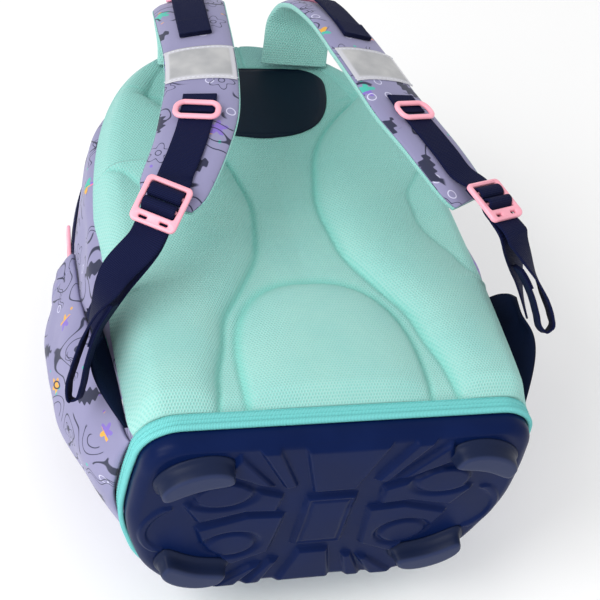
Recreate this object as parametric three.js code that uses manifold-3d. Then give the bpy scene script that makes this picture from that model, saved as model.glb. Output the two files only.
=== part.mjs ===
// School backpack (ransel), lying on its front pocket with the padded back upwards.
// Millimetres. +X runs across the bag, +Y from the moulded base to the top, +Z out of the back.
// The origin is the middle of the flat face of the front pocket.
import * as THREE from "three";
import { mergeVertices } from "three/addons/utils/BufferGeometryUtils.js";
import Module from "manifold-3d";

const wasm = await Module();
wasm.setup();

// Driving dimensions
const bagWidth = 292;
const bagHeight = 395;
const bodyDepth = 168;
const clothWall = 2;
const seat = 0.3;

const zipDepth = 0.42;
const zipWidth = 13;
const zipTape = 1.2;
const coilHeight = 1.4;
const zipEnd = 0.048;
const zipSteps = 24;

const pocketDepth = 40;
const pocketWidth = 224;
const pocketHeight = 226;
const pocketFoot = 38;

const sidePocketHeight = 196;
const sidePocketFoot = 11;
const sidePocketBulge = 25;

const baseDepth = 17;
const baseWall = 5;
const baseShrink = 0.975;
const baseReach = 1.035;
const baseRound = 7;
const ribHeight = 3;
const footHeight = 14;
const footLength = 54;
const footWidth = 18;
const footBend = 8;

const bindingWidth = 13;
const bindingThick = 2.6;
const bindingOverlap = 4;

const padHeight = 17;
const lumbarHeight = 13;
const channelHeight = 4.5;
const panelEdge = 7;
const patchThick = 1.2;

const strapWidth = 54;
const coverThick = 5;
const liningThick = 3.6;
const strapCrown = 2.4;
const strapRise = 86;
const webWidth = 24;
const webThick = 1.6;
const bandThick = 0.8;

const loopWidth = 33;
const loopLength = 17;
const loopBar = 4;
const loopThick = 3;
const buckleWidth = 33;
const buckleLength = 34;
const buckleRail = 4;
const buckleThick = 3;

const gussetThick = 2.4;
const handleWidth = 22;
const handleThick = 5;
const handleRise = 26;
const handleSpan = 96;
const handleDepth = 0.3;
const handleLift = 2.5;

// Values that follow from the driving dimensions
const half = bagWidth / 2;
const frontZ = pocketDepth;
const backZ = frontZ + bodyDepth;
const bodyFoot = baseDepth + seat;
const bodyMiddle = 0.28 * bagHeight;
const restMiddle = pocketFoot + pocketHeight / 2;

const colours = {
  lilac: 0xa0a0c8,
  mint: 0x9be0d4,
  mintBinding: 0x7dd7d7,
  navy: 0x1e2a5a,
  webbing: 0x18204f,
  patch: 0x102030,
  foot: 0x32365a,
  pink: 0xf0a5b9,
  grey: 0xcdced4,
};

function material(colour, roughness) {
  return new THREE.MeshStandardMaterial({ color: colour, roughness, metalness: 0 });
}

const bag = new THREE.Group();
bag.position.set(0, -restMiddle, 0);

function add(name, geometry, colour, roughness = 0.85) {
  const mesh = new THREE.Mesh(geometry, material(colour, roughness));
  mesh.name = name;
  bag.add(mesh);
  return mesh;
}

// Closed bodies from points and triangles, with the faces turned outwards
function body(points, triangles) {
  let volume = 0;
  for (const [a, b, c] of triangles) {
    const [p, q, r] = [points[a], points[b], points[c]];
    volume += p[0] * (q[1] * r[2] - q[2] * r[1]);
    volume += p[1] * (q[2] * r[0] - q[0] * r[2]);
    volume += p[2] * (q[0] * r[1] - q[1] * r[0]);
  }
  const turned = volume < 0 ? triangles.map(([a, b, c]) => [a, c, b]) : triangles;
  const geometry = new THREE.BufferGeometry();
  geometry.setAttribute("position", new THREE.Float32BufferAttribute(points.flat(), 3));
  geometry.setIndex(turned.flat());
  geometry.computeVertexNormals();
  return geometry;
}

function quadPair(a, b, c, d) {
  return [[a, b, c], [a, c, d]];
}

// Closed rings of points joined one after another, with a fan at each end
function loft(rings, middles = [null, null]) {
  const count = rings[0].length;
  const points = rings.flat();
  const triangles = [];
  for (let r = 0; r + 1 < rings.length; r++) {
    for (let i = 0; i < count; i++) {
      const j = (i + 1) % count;
      triangles.push(...quadPair(r * count + i, r * count + j, (r + 1) * count + j, (r + 1) * count + i));
    }
  }
  const ends = [[0, 0, 1], [1, (rings.length - 1) * count, -1]];
  for (const [end, start, turn] of ends) {
    const ring = rings[end === 0 ? 0 : rings.length - 1];
    const sum = ring.reduce((s, p) => [s[0] + p[0], s[1] + p[1], s[2] + p[2]], [0, 0, 0]);
    points.push(middles[end] ?? sum.map((value) => value / count));
    const middle = points.length - 1;
    for (let i = 0; i < count; i++) {
      const j = (i + 1) % count;
      triangles.push(turn > 0 ? [start + j, start + i, middle] : [start + i, start + j, middle]);
    }
  }
  return body(points, triangles);
}

// A section carried all the way round and joined to its start
function hoop(rings) {
  const count = rings[0].length;
  const triangles = [];
  for (let r = 0; r < rings.length; r++) {
    const next = ((r + 1) % rings.length) * count;
    for (let i = 0; i < count; i++) {
      const j = (i + 1) % count;
      triangles.push(...quadPair(r * count + i, r * count + j, next + j, next + i));
    }
  }
  return body(rings.flat(), triangles);
}

// A cloth between two grids: outer(u, v) and inner(u, v), u and v from 0 to 1
function sheet(across, along, outer, inner) {
  const points = [];
  const grid = (side, i, j) => side * (across + 1) * (along + 1) + j * (across + 1) + i;
  for (const face of [outer, inner]) {
    for (let j = 0; j <= along; j++) {
      for (let i = 0; i <= across; i++) points.push(face(i / across, j / along));
    }
  }
  const triangles = [];
  for (let j = 0; j < along; j++) {
    for (let i = 0; i < across; i++) {
      const corners = [[i, j], [i + 1, j], [i + 1, j + 1], [i, j + 1]];
      triangles.push(...quadPair(...corners.map(([a, b]) => grid(0, a, b))));
      triangles.push(...quadPair(...corners.reverse().map(([a, b]) => grid(1, a, b))));
    }
  }
  const rim = [];
  for (let i = 0; i < across; i++) rim.push([i, 0]);
  for (let j = 0; j < along; j++) rim.push([across, j]);
  for (let i = across; i > 0; i--) rim.push([i, along]);
  for (let j = along; j > 0; j--) rim.push([0, j]);
  for (let k = 0; k < rim.length; k++) {
    const [a, b] = [rim[k], rim[(k + 1) % rim.length]];
    triangles.push(...quadPair(grid(0, ...b), grid(0, ...a), grid(1, ...a), grid(1, ...b)));
  }
  return body(points, triangles);
}

// Straight interpolation in a table whose first column rises
function lookUp(table, key, at, column) {
  let k = 0;
  while (k + 2 < table.length && table[k + 1][key] < at) k++;
  const [a, b] = [table[k], table[k + 1]];
  const share = Math.min(1, Math.max(0, (at - a[key]) / (b[key] - a[key])));
  return a[column] + share * (b[column] - a[column]);
}

// Joining and cutting of closed bodies
function toSolid(geometry) {
  const bare = geometry.clone();
  bare.deleteAttribute("normal");
  bare.deleteAttribute("uv");
  const merged = mergeVertices(bare, 1e-3);
  return new wasm.Manifold(
    new wasm.Mesh({
      numProp: 3,
      vertProperties: new Float32Array(merged.attributes.position.array),
      triVerts: new Uint32Array(merged.index.array),
    }),
  );
}

function toGeometry(solid) {
  const mesh = solid.getMesh();
  const geometry = new THREE.BufferGeometry();
  geometry.setAttribute("position", new THREE.BufferAttribute(new Float32Array(mesh.vertProperties), 3));
  geometry.setIndex(new THREE.BufferAttribute(new Uint32Array(mesh.triVerts), 1));
  geometry.computeVertexNormals();
  return geometry;
}

// The body's outline at each depth from the back (0) to the front wall (1), as shares:
// width of the half width, top and foot of the bag height
const bodyLevels = [
  { depth: 0, width: 0.83, top: 0.98, foot: 0.004 },
  { depth: 0.03, width: 0.9, top: 0.99, foot: 0 },
  { depth: 0.08, width: 0.95, top: 1, foot: 0 },
  { depth: 0.18, width: 0.973, top: 1.005, foot: 0 },
  { depth: 0.34, width: 0.985, top: 0.994, foot: 0 },
  { depth: 0.49, width: 0.98, top: 0.965, foot: 0 },
  { depth: 0.6, width: 0.952, top: 0.94, foot: 0 },
  { depth: 0.7, width: 0.91, top: 0.915, foot: 0 },
  { depth: 0.8, width: 0.86, top: 0.885, foot: 0.002 },
  { depth: 0.88, width: 0.79, top: 0.845, foot: 0.006 },
  { depth: 0.95, width: 0.69, top: 0.795, foot: 0.018 },
  { depth: 1, width: 0.52, top: 0.71, foot: 0.05 },
];
const bodySteps = 32;
const archPower = 2.8;
const cornerPower = 12;

function bodyWidth(depth) {
  return half * lookUp(bodyLevels, "depth", depth, "width");
}

function bodyRing(depth, inset, lift = 0) {
  const width = bodyWidth(depth) - inset;
  const top = bagHeight * lookUp(bodyLevels, "depth", depth, "top") - inset;
  const foot = bodyFoot + bagHeight * lookUp(bodyLevels, "depth", depth, "foot") + inset;
  const ring = [];
  for (let i = 0; i < bodySteps; i++) {
    ring.push(bodyPoint(i / bodySteps, width, top, foot, backZ - depth * bodyDepth + lift));
  }
  return ring;
}

// A D outline: nearly square corners at the foot, one wide arch at the top
function bodyPoint(turn, width, top, foot, z) {
  const angle = turn * 2 * Math.PI;
  const [c, s] = [Math.cos(angle), Math.sin(angle)];
  const power = s >= 0 ? 2 / archPower : 2 / cornerPower;
  const x = width * Math.sign(c) * Math.abs(c) ** power;
  const reach = s >= 0 ? top - bodyMiddle : bodyMiddle - foot;
  const y = bodyMiddle + reach * Math.sign(s) * Math.abs(s) ** power;
  return [x, y, z];
}

function backShell() {
  const backWall = (clothWall + seat) / bodyDepth;
  const edge = zipDepth - seat / bodyDepth;
  const inner = [edge, 0.34, 0.18, 0.08, 0.03];
  const outer = [0, ...[...inner].reverse()];
  const rings = [bodyRing(0, 0, -seat)];
  rings.push(...outer.slice(1).map((depth) => bodyRing(depth, 0)));
  rings.push(...inner.map((depth) => bodyRing(depth, clothWall)));
  rings.push(bodyRing(backWall, clothWall));
  return loft(rings);
}

function frontShell() {
  const outer = [1, 0.95, 0.88, 0.8, 0.7, 0.6, 0.49, zipDepth + seat / bodyDepth];
  const inner = [...outer].reverse();
  const rings = outer.map((depth) => bodyRing(depth, 0));
  rings.push(...inner.map((depth) => bodyRing(depth, clothWall, clothWall * depth ** 4)));
  return loft(rings);
}

// Zip tape with its coil, over the body's top from one side pocket's hem to the other's. zipEnd is
// the turn of the outline where it ends
function mainZip() {
  const coil = [0, 0.36, 0.5, 0.64, 1];
  const raised = [0, 0, 1, 0, 0];
  const across = coil.length - 1;
  const face = (gap, lift) => (u, v) => {
    const row = Math.round(u * across);
    const depth = zipDepth + ((coil[row] - 0.5) * zipWidth) / bodyDepth;
    const proud = gap + lift * raised[row];
    const turn = zipEnd + (0.5 - 2 * zipEnd) * v;
    const width = bodyWidth(depth) + proud;
    const top = bagHeight * lookUp(bodyLevels, "depth", depth, "top") + proud;
    return bodyPoint(turn, width, top, bodyFoot - proud, backZ - depth * bodyDepth);
  };
  return sheet(across, zipSteps, face(zipTape + 2 * seat, coilHeight), face(2 * seat, 0));
}

// A flat plate from an outline with holes
function plate(outline, holes, thick, bevel = 0) {
  const shape = new THREE.Shape(outline.map(([x, y]) => new THREE.Vector2(x, y)));
  for (const hole of holes) {
    shape.holes.push(new THREE.Path(hole.map(([x, y]) => new THREE.Vector2(x, y))));
  }
  const geometry = new THREE.ExtrudeGeometry(shape, {
    depth: thick - 2 * bevel,
    bevelEnabled: bevel > 0,
    bevelSize: bevel,
    bevelOffset: -bevel,
    bevelThickness: bevel,
    bevelSegments: 1,
  });
  geometry.translate(0, 0, bevel - thick / 2);
  return geometry;
}

function roundedBox(width, length, radius, middle = [0, 0], steps = 3) {
  const outline = [];
  for (const [sx, sy, start] of [[1, 1, 0], [-1, 1, 1], [-1, -1, 2], [1, -1, 3]]) {
    for (let k = 0; k <= steps; k++) {
      const angle = ((start + k / steps) * Math.PI) / 2;
      const x = middle[0] + sx * (width / 2 - radius) + radius * Math.cos(angle);
      const y = middle[1] + sy * (length / 2 - radius) + radius * Math.sin(angle);
      outline.push([x, y]);
    }
  }
  return outline;
}

// Places a flat plate so that its x, y and z run along three directions
function place(geometry, middle, across, along, normal) {
  const matrix = new THREE.Matrix4().makeBasis(across, along, normal);
  matrix.setPosition(middle);
  return geometry.applyMatrix4(matrix);
}

const pullWidth = 9;
const pullLength = 34;
const pullThick = 2.4;
const pullTurn = 0.061;

function zipPull() {
  const outline = roundedBox(pullWidth, pullLength, 3);
  const hole = roundedBox(pullWidth - 5, pullLength * 0.3, 1.5, [0, pullLength * 0.26], 2);
  return plate(outline, [hole], pullThick);
}

function addMainZip() {
  add("main_zip", mainZip(), colours.navy);
  for (const [name, side] of [["main_pull_left", -1], ["main_pull_right", 1]]) {
    const turn = side > 0 ? pullTurn : 0.5 - pullTurn;
    const proud = zipTape + coilHeight + 3 * seat + pullThick / 2;
    const at = (t) => {
      const top = bagHeight * lookUp(bodyLevels, "depth", zipDepth, "top") + proud;
      const z = backZ - zipDepth * bodyDepth;
      return new THREE.Vector3(...bodyPoint(t, bodyWidth(zipDepth) + proud, top, bodyFoot, z));
    };
    const middle = at(turn);
    const along = at(turn + side * 0.01).sub(at(turn - side * 0.01)).normalize();
    const across = new THREE.Vector3(0, 0, 1);
    const normal = new THREE.Vector3().crossVectors(across, along);
    add(name, place(zipPull(), middle, across, along, normal), colours.pink, 0.45);
  }
}

// Front pocket: a bulging tub whose mouth meets the body's front wall
const pocketLevels = [
  { height: 0, width: 0.74, top: 0.86, foot: 0.12 },
  { height: 0.04, width: 0.8, top: 0.89, foot: 0.095 },
  { height: 0.25, width: 0.92, top: 0.96, foot: 0.035 },
  { height: 0.6, width: 0.985, top: 0.99, foot: 0.008 },
  { height: 1, width: 1, top: 1, foot: 0 },
];
const pocketSteps = 24;

function pocketRing(height, inset, lift = 0) {
  const width = (pocketWidth / 2) * lookUp(pocketLevels, "height", height, "width") - inset;
  const top = pocketFoot + pocketHeight * lookUp(pocketLevels, "height", height, "top") - inset;
  const foot = pocketFoot + pocketHeight * lookUp(pocketLevels, "height", height, "foot") + inset;
  const middle = pocketFoot + 0.4 * pocketHeight;
  const z = height * (pocketDepth - seat) + lift;
  const ring = [];
  for (let i = 0; i < pocketSteps; i++) {
    const angle = (i / pocketSteps) * 2 * Math.PI;
    const [c, s] = [Math.cos(angle), Math.sin(angle)];
    const power = s >= 0 ? 2 / 2.6 : 2 / 4;
    const reach = s >= 0 ? top - middle : middle - foot;
    ring.push([
      width * Math.sign(c) * Math.abs(c) ** power,
      middle + reach * Math.sign(s) * Math.abs(s) ** power,
      z,
    ]);
  }
  return ring;
}

function frontPocket() {
  const outer = pocketLevels.map((level) => pocketRing(level.height, 0));
  const inner = [...pocketLevels].reverse().map((level) =>
    pocketRing(level.height, clothWall, clothWall * (1 - level.height)),
  );
  return loft([...outer, ...inner]);
}

const pocketZipHeight = 0.74;

function pocketZip() {
  const coil = [0, 0.35, 0.5, 0.65, 1];
  const raised = [0, 0, 1, 0, 0];
  const across = coil.length - 1;
  const width = zipWidth / pocketDepth;
  const steps = pocketSteps / 2;
  const face = (gap, lift) => (u, v) => {
    const row = Math.round(u * across);
    const height = pocketZipHeight + (coil[row] - 0.5) * width;
    return pocketRing(height, -gap - lift * raised[row])[Math.round(v * steps)];
  };
  return sheet(across, steps, face(zipTape + 2 * seat, coilHeight), face(2 * seat, 0));
}

// Side pockets: an open bag of cloth on each side wall. The table runs up the pocket:
// bulge is a share of sidePocketBulge, fold the share of the pocket's width that a fold shifts
const pocketRows = [
  { up: 0, bulge: 0.15, fold: 0 },
  { up: 0.12, bulge: 0.6, fold: 0.02 },
  { up: 0.3, bulge: 0.98, fold: 0.06 },
  { up: 0.48, bulge: 1, fold: 0.1 },
  { up: 0.65, bulge: 0.9, fold: 0.06 },
  { up: 0.82, bulge: 0.78, fold: 0.12 },
  { up: 0.94, bulge: 0.62, fold: 0.05 },
  { up: 1, bulge: 0.6, fold: 0 },
];
const sidePocketFront = 0.865;
const sidePocketBack = 0.145;
const sidePocketSlant = 0.18;
const mouthDip = 14;

// The side wall of the body at a depth and a height
function sideWall(depth, y, proud) {
  const width = bodyWidth(depth) + proud;
  const top = bagHeight * lookUp(bodyLevels, "depth", depth, "top") + proud;
  const foot = bodyFoot + bagHeight * lookUp(bodyLevels, "depth", depth, "foot") - proud;
  const power = y >= bodyMiddle ? archPower : cornerPower;
  const reach = y >= bodyMiddle ? top - bodyMiddle : bodyMiddle - foot;
  const share = Math.min(1, Math.abs(y - bodyMiddle) / reach);
  return width * (1 - share ** power) ** (1 / power);
}

function sidePocket(side) {
  const face = (inner) => (u, v) => {
    const dip = mouthDip * Math.sin(Math.PI * u) * v ** 4;
    const y = sidePocketFoot + bodyFoot + v * sidePocketHeight - dip;
    const back = sidePocketBack + sidePocketSlant * v;
    const depth = back + u * (sidePocketFront - back);
    const bulge = sidePocketBulge * lookUp(pocketRows, "up", v, "bulge");
    const fold = lookUp(pocketRows, "up", v, "fold");
    const arch = Math.sin(Math.PI * u) ** 0.7;
    const ripple = fold * Math.sin(3 * Math.PI * u + 4 * v) * Math.sin(Math.PI * u);
    const proud = 4 * seat + (inner ? 0 : clothWall) + bulge * Math.max(0, arch + ripple);
    const tuck = inner ? (clothWall * (0.5 - u)) / bodyDepth : 0;
    const at = sideWall(depth + tuck, y, 0) + proud;
    return [side * at, y, backZ - (depth + tuck) * bodyDepth];
  };
  return sheet(8, 9, face(false), face(true));
}

// Moulded base: a tray, its plates and ribs, and the grooves between them
const baseSteps = 12;

function baseOutline(share) {
  const right = [];
  const reach = (baseReach * share) / baseShrink;
  for (const { depth } of bodyLevels) {
    right.push([bodyWidth(depth) * share, (0.5 - depth) * bodyDepth * reach]);
  }
  const points = [];
  for (const [x, z] of right) points.push([x, z]);
  const front = right[right.length - 1];
  for (let k = 1; k < baseSteps / 2; k++) points.push([front[0] * (1 - (4 * k) / baseSteps), front[1]]);
  for (const [x, z] of [...right].reverse()) points.push([-x, z]);
  const back = right[0];
  for (let k = 1; k < baseSteps / 2; k++) points.push([-back[0] * (1 - (4 * k) / baseSteps), back[1]]);
  const middle = backZ - bodyDepth / 2;
  return points.map(([x, z]) => [x, middle + z]);
}

function baseRing(share, y) {
  return baseOutline(share).map(([x, z]) => [x, y, z]);
}

// The base's plates on its right half: rear, front, inner rib and outer crescent, each an outline of
// x as a share of the half width and z of the depth from the middle; the left half mirrors them
const basePlates = [
  [[0.2, 0.36], [0.3, 0.14], [0.52, 0.02], [0.82, 0.08], [0.8, 0.34], [0.64, 0.42]],
  [[0.2, -0.06], [0.5, -0.08], [0.8, -0.02], [0.74, -0.22], [0.5, -0.42], [0.26, -0.36]],
  [[0.1, 0.22], [0.24, 0.1], [0.24, 0.04], [0.1, 0.12]],
  [[0.84, 0.2], [0.88, 0.16], [0.88, -0.12], [0.84, -0.16]],
];
const baseCentre = [
  [[-0.14, 0.42], [0.14, 0.42], [0.08, 0.28], [-0.08, 0.28]],
  [[-0.09, 0.2], [0.09, 0.2], [0.09, -0.02], [-0.09, -0.02]],
  [[-0.12, -0.08], [0.12, -0.08], [0.16, -0.4], [-0.16, -0.4]],
];

function basePlate(outline) {
  const middle = backZ - bodyDepth / 2;
  const shape = new THREE.Shape(outline.map(([x, z]) => new THREE.Vector2(x * half, z * bodyDepth)));
  const geometry = new THREE.ExtrudeGeometry(shape, {
    depth: ribHeight + 1,
    bevelEnabled: true,
    bevelSize: 2,
    bevelOffset: -2,
    bevelThickness: 1.2,
    bevelSegments: 1,
  });
  geometry.rotateX(Math.PI / 2);
  geometry.translate(0, 1.2 + 1, middle);
  return geometry;
}

function base() {
  const rings = [
    baseRing(baseShrink - 0.055, 0),
    baseRing(baseShrink - 0.02, baseRound * 0.3),
    baseRing(baseShrink, baseRound),
    baseRing(baseShrink, baseDepth),
    baseRing(baseShrink - 0.035, baseDepth),
    baseRing(baseShrink - 0.035, baseWall),
  ];
  let solid = toSolid(loft(rings));
  for (const outline of basePlates) {
    for (const side of [-1, 1]) {
      const turned = outline.map(([x, z]) => [side * x, z]);
      solid = solid.add(toSolid(basePlate(side > 0 ? turned : turned.reverse())));
    }
  }
  for (const outline of baseCentre) solid = solid.add(toSolid(basePlate(outline)));
  return toGeometry(solid);
}

// Kidney-shaped feet: a bent bar, its hollow side towards the middle of the base
const footPlaces = [
  { name: "foot_rear_left", x: -0.71, z: 0.38, turn: 0.35 },
  { name: "foot_rear_right", x: 0.71, z: 0.38, turn: -0.35 },
  { name: "foot_front_left", x: -0.62, z: -0.32, turn: -0.38 + Math.PI },
  { name: "foot_front_right", x: 0.62, z: -0.32, turn: 0.38 + Math.PI },
];
const footSteps = 14;

function footRing(grow, y, bend) {
  const ring = [];
  for (let i = 0; i < footSteps; i++) {
    const angle = (i / footSteps) * 2 * Math.PI;
    const x = (footLength / 2 + grow) * Math.sign(Math.cos(angle)) * Math.abs(Math.cos(angle)) ** 0.8;
    const z = (footWidth / 2 + grow) * Math.sign(Math.sin(angle)) * Math.abs(Math.sin(angle)) ** 0.8;
    ring.push([x, y, z - bend * (x / (footLength / 2)) ** 2]);
  }
  return ring;
}

function foot({ x, z, turn }) {
  const start = -ribHeight - seat;
  const end = -footHeight;
  const rings = [
    footRing(2.5, start, footBend),
    footRing(0.5, start + 0.25 * (end - start), footBend),
    footRing(0, start + 0.8 * (end - start), footBend),
    footRing(-2, end, footBend),
  ];
  const geometry = loft(rings);
  geometry.rotateY(-turn);
  geometry.translate(x * half, 0, backZ - bodyDepth / 2 + z * bodyDepth);
  return geometry;
}

// Binding round the seam between base and body
function binding() {
  const inner = (baseShrink * half + seat) / half;
  const outer = inner + bindingThick / half;
  const low = baseDepth - bindingOverlap;
  const high = baseDepth + bindingWidth - bindingOverlap;
  const lines = [[inner, low], [outer, low], [outer + 0.006, (low + high) / 2], [outer, high], [inner, high]];
  const loops = lines.map(([share, y]) => baseRing(share, y));
  return hoop(loops[0].map((_, i) => loops.map((loop) => loop[i])));
}

// Back panel. The table runs up the panel; seam is the inner seam of each long pad and lumbar the
// edge of the lumbar pad, both as shares of the half width, and pad and low are their heights as shares
const panelRows = [
  { up: 0, seam: 0.585, lumbar: 0.43, pad: 0.55, low: 0.5 },
  { up: 0.035, seam: 0.58, lumbar: 0.44, pad: 0.8, low: 0.8 },
  { up: 0.07, seam: 0.575, lumbar: 0.44, pad: 0.92, low: 0.92 },
  { up: 0.13, seam: 0.51, lumbar: 0.435, pad: 1, low: 1 },
  { up: 0.19, seam: 0.455, lumbar: 0.4, pad: 1, low: 1 },
  { up: 0.25, seam: 0.36, lumbar: 0.3, pad: 1, low: 0.85 },
  { up: 0.29, seam: 0.295, lumbar: 0.16, pad: 1, low: 0.4 },
  { up: 0.33, seam: 0.235, lumbar: 0.11, pad: 1, low: 0 },
  { up: 0.41, seam: 0.195, lumbar: 0.09, pad: 1, low: 0 },
  { up: 0.49, seam: 0.178, lumbar: 0.08, pad: 1, low: 0 },
  { up: 0.57, seam: 0.21, lumbar: 0.1, pad: 1, low: 0 },
  { up: 0.64, seam: 0.27, lumbar: 0.13, pad: 1, low: 0 },
  { up: 0.71, seam: 0.36, lumbar: 0.18, pad: 0.95, low: 0 },
  { up: 0.77, seam: 0.46, lumbar: 0.24, pad: 0.85, low: 0 },
  { up: 0.81, seam: 0.54, lumbar: 0.27, pad: 0.55, low: 0 },
  { up: 0.85, seam: 0.54, lumbar: 0.27, pad: 0.15, low: 0 },
  { up: 0.92, seam: 0.45, lumbar: 0.22, pad: 0.1, low: 0 },
  { up: 0.975, seam: 0.26, lumbar: 0.13, pad: 0.06, low: 0 },
  { up: 1, seam: 0.12, lumbar: 0.06, pad: 0, low: 0 },
];
const panelFoot = baseDepth + bindingWidth - bindingOverlap + seat;
const panelTop = bagHeight - 1;
const panelCorner = 12;
const panelReach = 0.976;
const panelWrap = 17;
const wrapStart = 0.86;

// How far a height lies up the body's arch, from its spring (0) to the top (1)
function archShare(y) {
  return Math.min(0.9995, Math.max(0, (y - bodyMiddle) / (bagHeight - bodyMiddle)));
}

function panelHalfWidth(y) {
  const corner = Math.max(0, 1 - (y - panelFoot) / panelCorner);
  const arch = (1 - archShare(y) ** archPower) ** (1 / archPower);
  return (panelReach * half - 0.2 * panelCorner * corner ** 2) * arch;
}

// How far the panel drops round the body's long edges, at a share of its half width; less up the arch
function panelDrop(share, y) {
  const bend = Math.max(0, (Math.abs(share) - wrapStart) / (1 - wrapStart)) ** 2;
  return panelWrap * (1 - archShare(y) ** 2) * bend;
}

// Height of the panel's face above its seat, from the middle (0) to the side edge (1)
function panelSection(row) {
  const valley = channelHeight;
  const low = valley + (lumbarHeight - valley) * row.low;
  const pad = valley + (padHeight - valley) * row.pad;
  const edge = panelEdge * (0.55 + 0.45 * row.pad);
  return { valley, low, pad, edge };
}

function panelColumns(row, y) {
  const { valley, low, pad, edge } = panelSection(row);
  const width = panelHalfWidth(y);
  const seam = Math.min(row.seam * half, 0.62 * width);
  const lumbar = Math.min(row.lumbar * half, 0.34 * width);
  const room = width - seam;
  return [
    [0, low],
    [lumbar * 0.75, low * 0.8 + valley * 0.2],
    [lumbar, valley * 0.9],
    [(lumbar + seam) / 2, valley * 1.1],
    [seam, valley],
    [seam + 0.2 * room, pad * 0.9 + valley * 0.1],
    [seam + 0.5 * room, pad],
    [wrapStart * width, pad * 0.9],
    [0.93 * width, edge * 1.5],
    [width, edge * 0.7],
  ];
}

function backPanel() {
  const rows = panelRows.map((row) => {
    const y = panelFoot + row.up * (panelTop - panelFoot);
    const right = panelColumns(row, y);
    const left = right.slice(1).reverse().map(([x, h]) => [-x, h]);
    return { y, width: panelHalfWidth(y), line: [...left, ...right] };
  });
  const across = rows[0].line.length - 1;
  const along = rows.length - 1;
  const face = (top) => (u, v) => {
    const row = rows[Math.round(v * along)];
    const [x, h] = row.line[Math.round(u * across)];
    return [x, row.y, backZ + (top ? h : 0) - panelDrop(x / row.width, row.y)];
  };
  return sheet(across, along, face(true), face(false));
}

// Height of the panel's face at a place across and along the bag
function panelHeight(x, y) {
  const up = Math.min(1, Math.max(0, (y - panelFoot) / (panelTop - panelFoot)));
  let k = 0;
  while (k + 2 < panelRows.length && panelRows[k + 1].up < up) k++;
  const heights = [panelRows[k], panelRows[k + 1]].map((row) => {
    const columns = panelColumns(row, panelFoot + row.up * (panelTop - panelFoot));
    return lookUp(columns, 0, Math.abs(x), 1);
  });
  const share = (up - panelRows[k].up) / (panelRows[k + 1].up - panelRows[k].up);
  return heights[0] + share * (heights[1] - heights[0]);
}

// Dark half-round patch on the panel. The table runs up the patch: width is a share of patchWidth
const patchRows = [
  { up: 0, width: 0.2 },
  { up: 0.06, width: 0.5 },
  { up: 0.18, width: 0.73 },
  { up: 0.36, width: 0.9 },
  { up: 0.58, width: 0.98 },
  { up: 0.8, width: 1 },
  { up: 0.9, width: 0.92 },
  { up: 0.97, width: 0.68 },
  { up: 1, width: 0.4 },
];
const patchFoot = 0.722;
const patchTop = 0.928;
const patchWidth = 0.44;
const patchGap = 0.6;

function backPatch() {
  const last = patchRows.length - 1;
  const face = (lift) => (u, v) => {
    const row = patchRows[Math.round(v * last)];
    const x = (2 * u - 1) * row.width * patchWidth * half;
    const y = bagHeight * (patchFoot + row.up * (patchTop - patchFoot));
    return [x, y, backZ + panelHeight(x, y) + patchGap + lift];
  };
  return sheet(6, last, face(patchThick), face(0));
}

// Shoulder straps. Stations run from the root in the panel to the tip: x as a share of the half
// width, y of the bag height, z of strapRise above the panel's plane; width is a share of
// strapWidth, tilt the drop of the outer edge and skew its lead up the bag, per unit across
const strapStations = [
  { x: 0.29, y: 0.932, z: 0.1, width: 0.98, tilt: 0, skew: 0 },
  { x: 0.295, y: 0.95, z: 0.26, width: 0.98, tilt: 0.05, skew: 0 },
  { x: 0.31, y: 0.972, z: 0.43, width: 1, tilt: 0.08, skew: 0 },
  { x: 0.335, y: 0.967, z: 0.6, width: 1, tilt: 0.22, skew: 0.04 },
  { x: 0.36, y: 0.935, z: 0.71, width: 1, tilt: 0.34, skew: 0.14 },
  { x: 0.395, y: 0.85, z: 0.85, width: 0.97, tilt: 0.34, skew: 0.24 },
  { x: 0.427, y: 0.738, z: 0.95, width: 0.94, tilt: 0.27, skew: 0.28 },
  { x: 0.47, y: 0.634, z: 1, width: 0.96, tilt: 0.27, skew: 0.3 },
  { x: 0.521, y: 0.559, z: 1, width: 1, tilt: 0.25, skew: 0.28 },
  { x: 0.6, y: 0.481, z: 0.98, width: 0.95, tilt: 0.24, skew: 0.33 },
  { x: 0.705, y: 0.405, z: 0.88, width: 0.88, tilt: 0.24, skew: 0.42 },
  { x: 0.745, y: 0.378, z: 0.82, width: 0.66, tilt: 0.24, skew: 0.45 },
];

function strapCurve() {
  const points = strapStations.map(
    (s) => new THREE.Vector3(s.x * half, s.y * bagHeight, backZ + s.z * strapRise),
  );
  return new THREE.CatmullRomCurve3(points, false, "centripetal");
}
const strapLine = strapCurve();

// The frame of the right strap at a place from 0 (root) to 1 (tip)
function strapFrame(t) {
  const last = strapStations.length - 1;
  const k = Math.min(last - 1, Math.floor(t * last));
  const f = t * last - k;
  const mix = (column) => strapStations[k][column] * (1 - f) + strapStations[k + 1][column] * f;
  const middle = strapLine.getPoint(t);
  const along = strapLine.getTangent(t);
  const across = new THREE.Vector3(1, mix("skew"), -mix("tilt"));
  across.addScaledVector(along, -across.dot(along)).normalize();
  const normal = new THREE.Vector3().crossVectors(across, along).normalize();
  return { middle, along, across, normal: normal.negate(), width: mix("width") * strapWidth };
}

function strapPoint(side, t, across, height) {
  const frame = strapFrame(t);
  const point = frame.middle.clone();
  point.addScaledVector(frame.across, across).addScaledVector(frame.normal, height);
  return [side * point.x, point.y, point.z];
}

// Height of the crowned cover over the strap's middle surface
function coverTop(share) {
  return seat + coverThick * 0.55 + (coverThick * 0.45 + strapCrown * 0.4) * (1 - Math.abs(share) ** 2.6);
}

const strapRows = 18;

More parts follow.
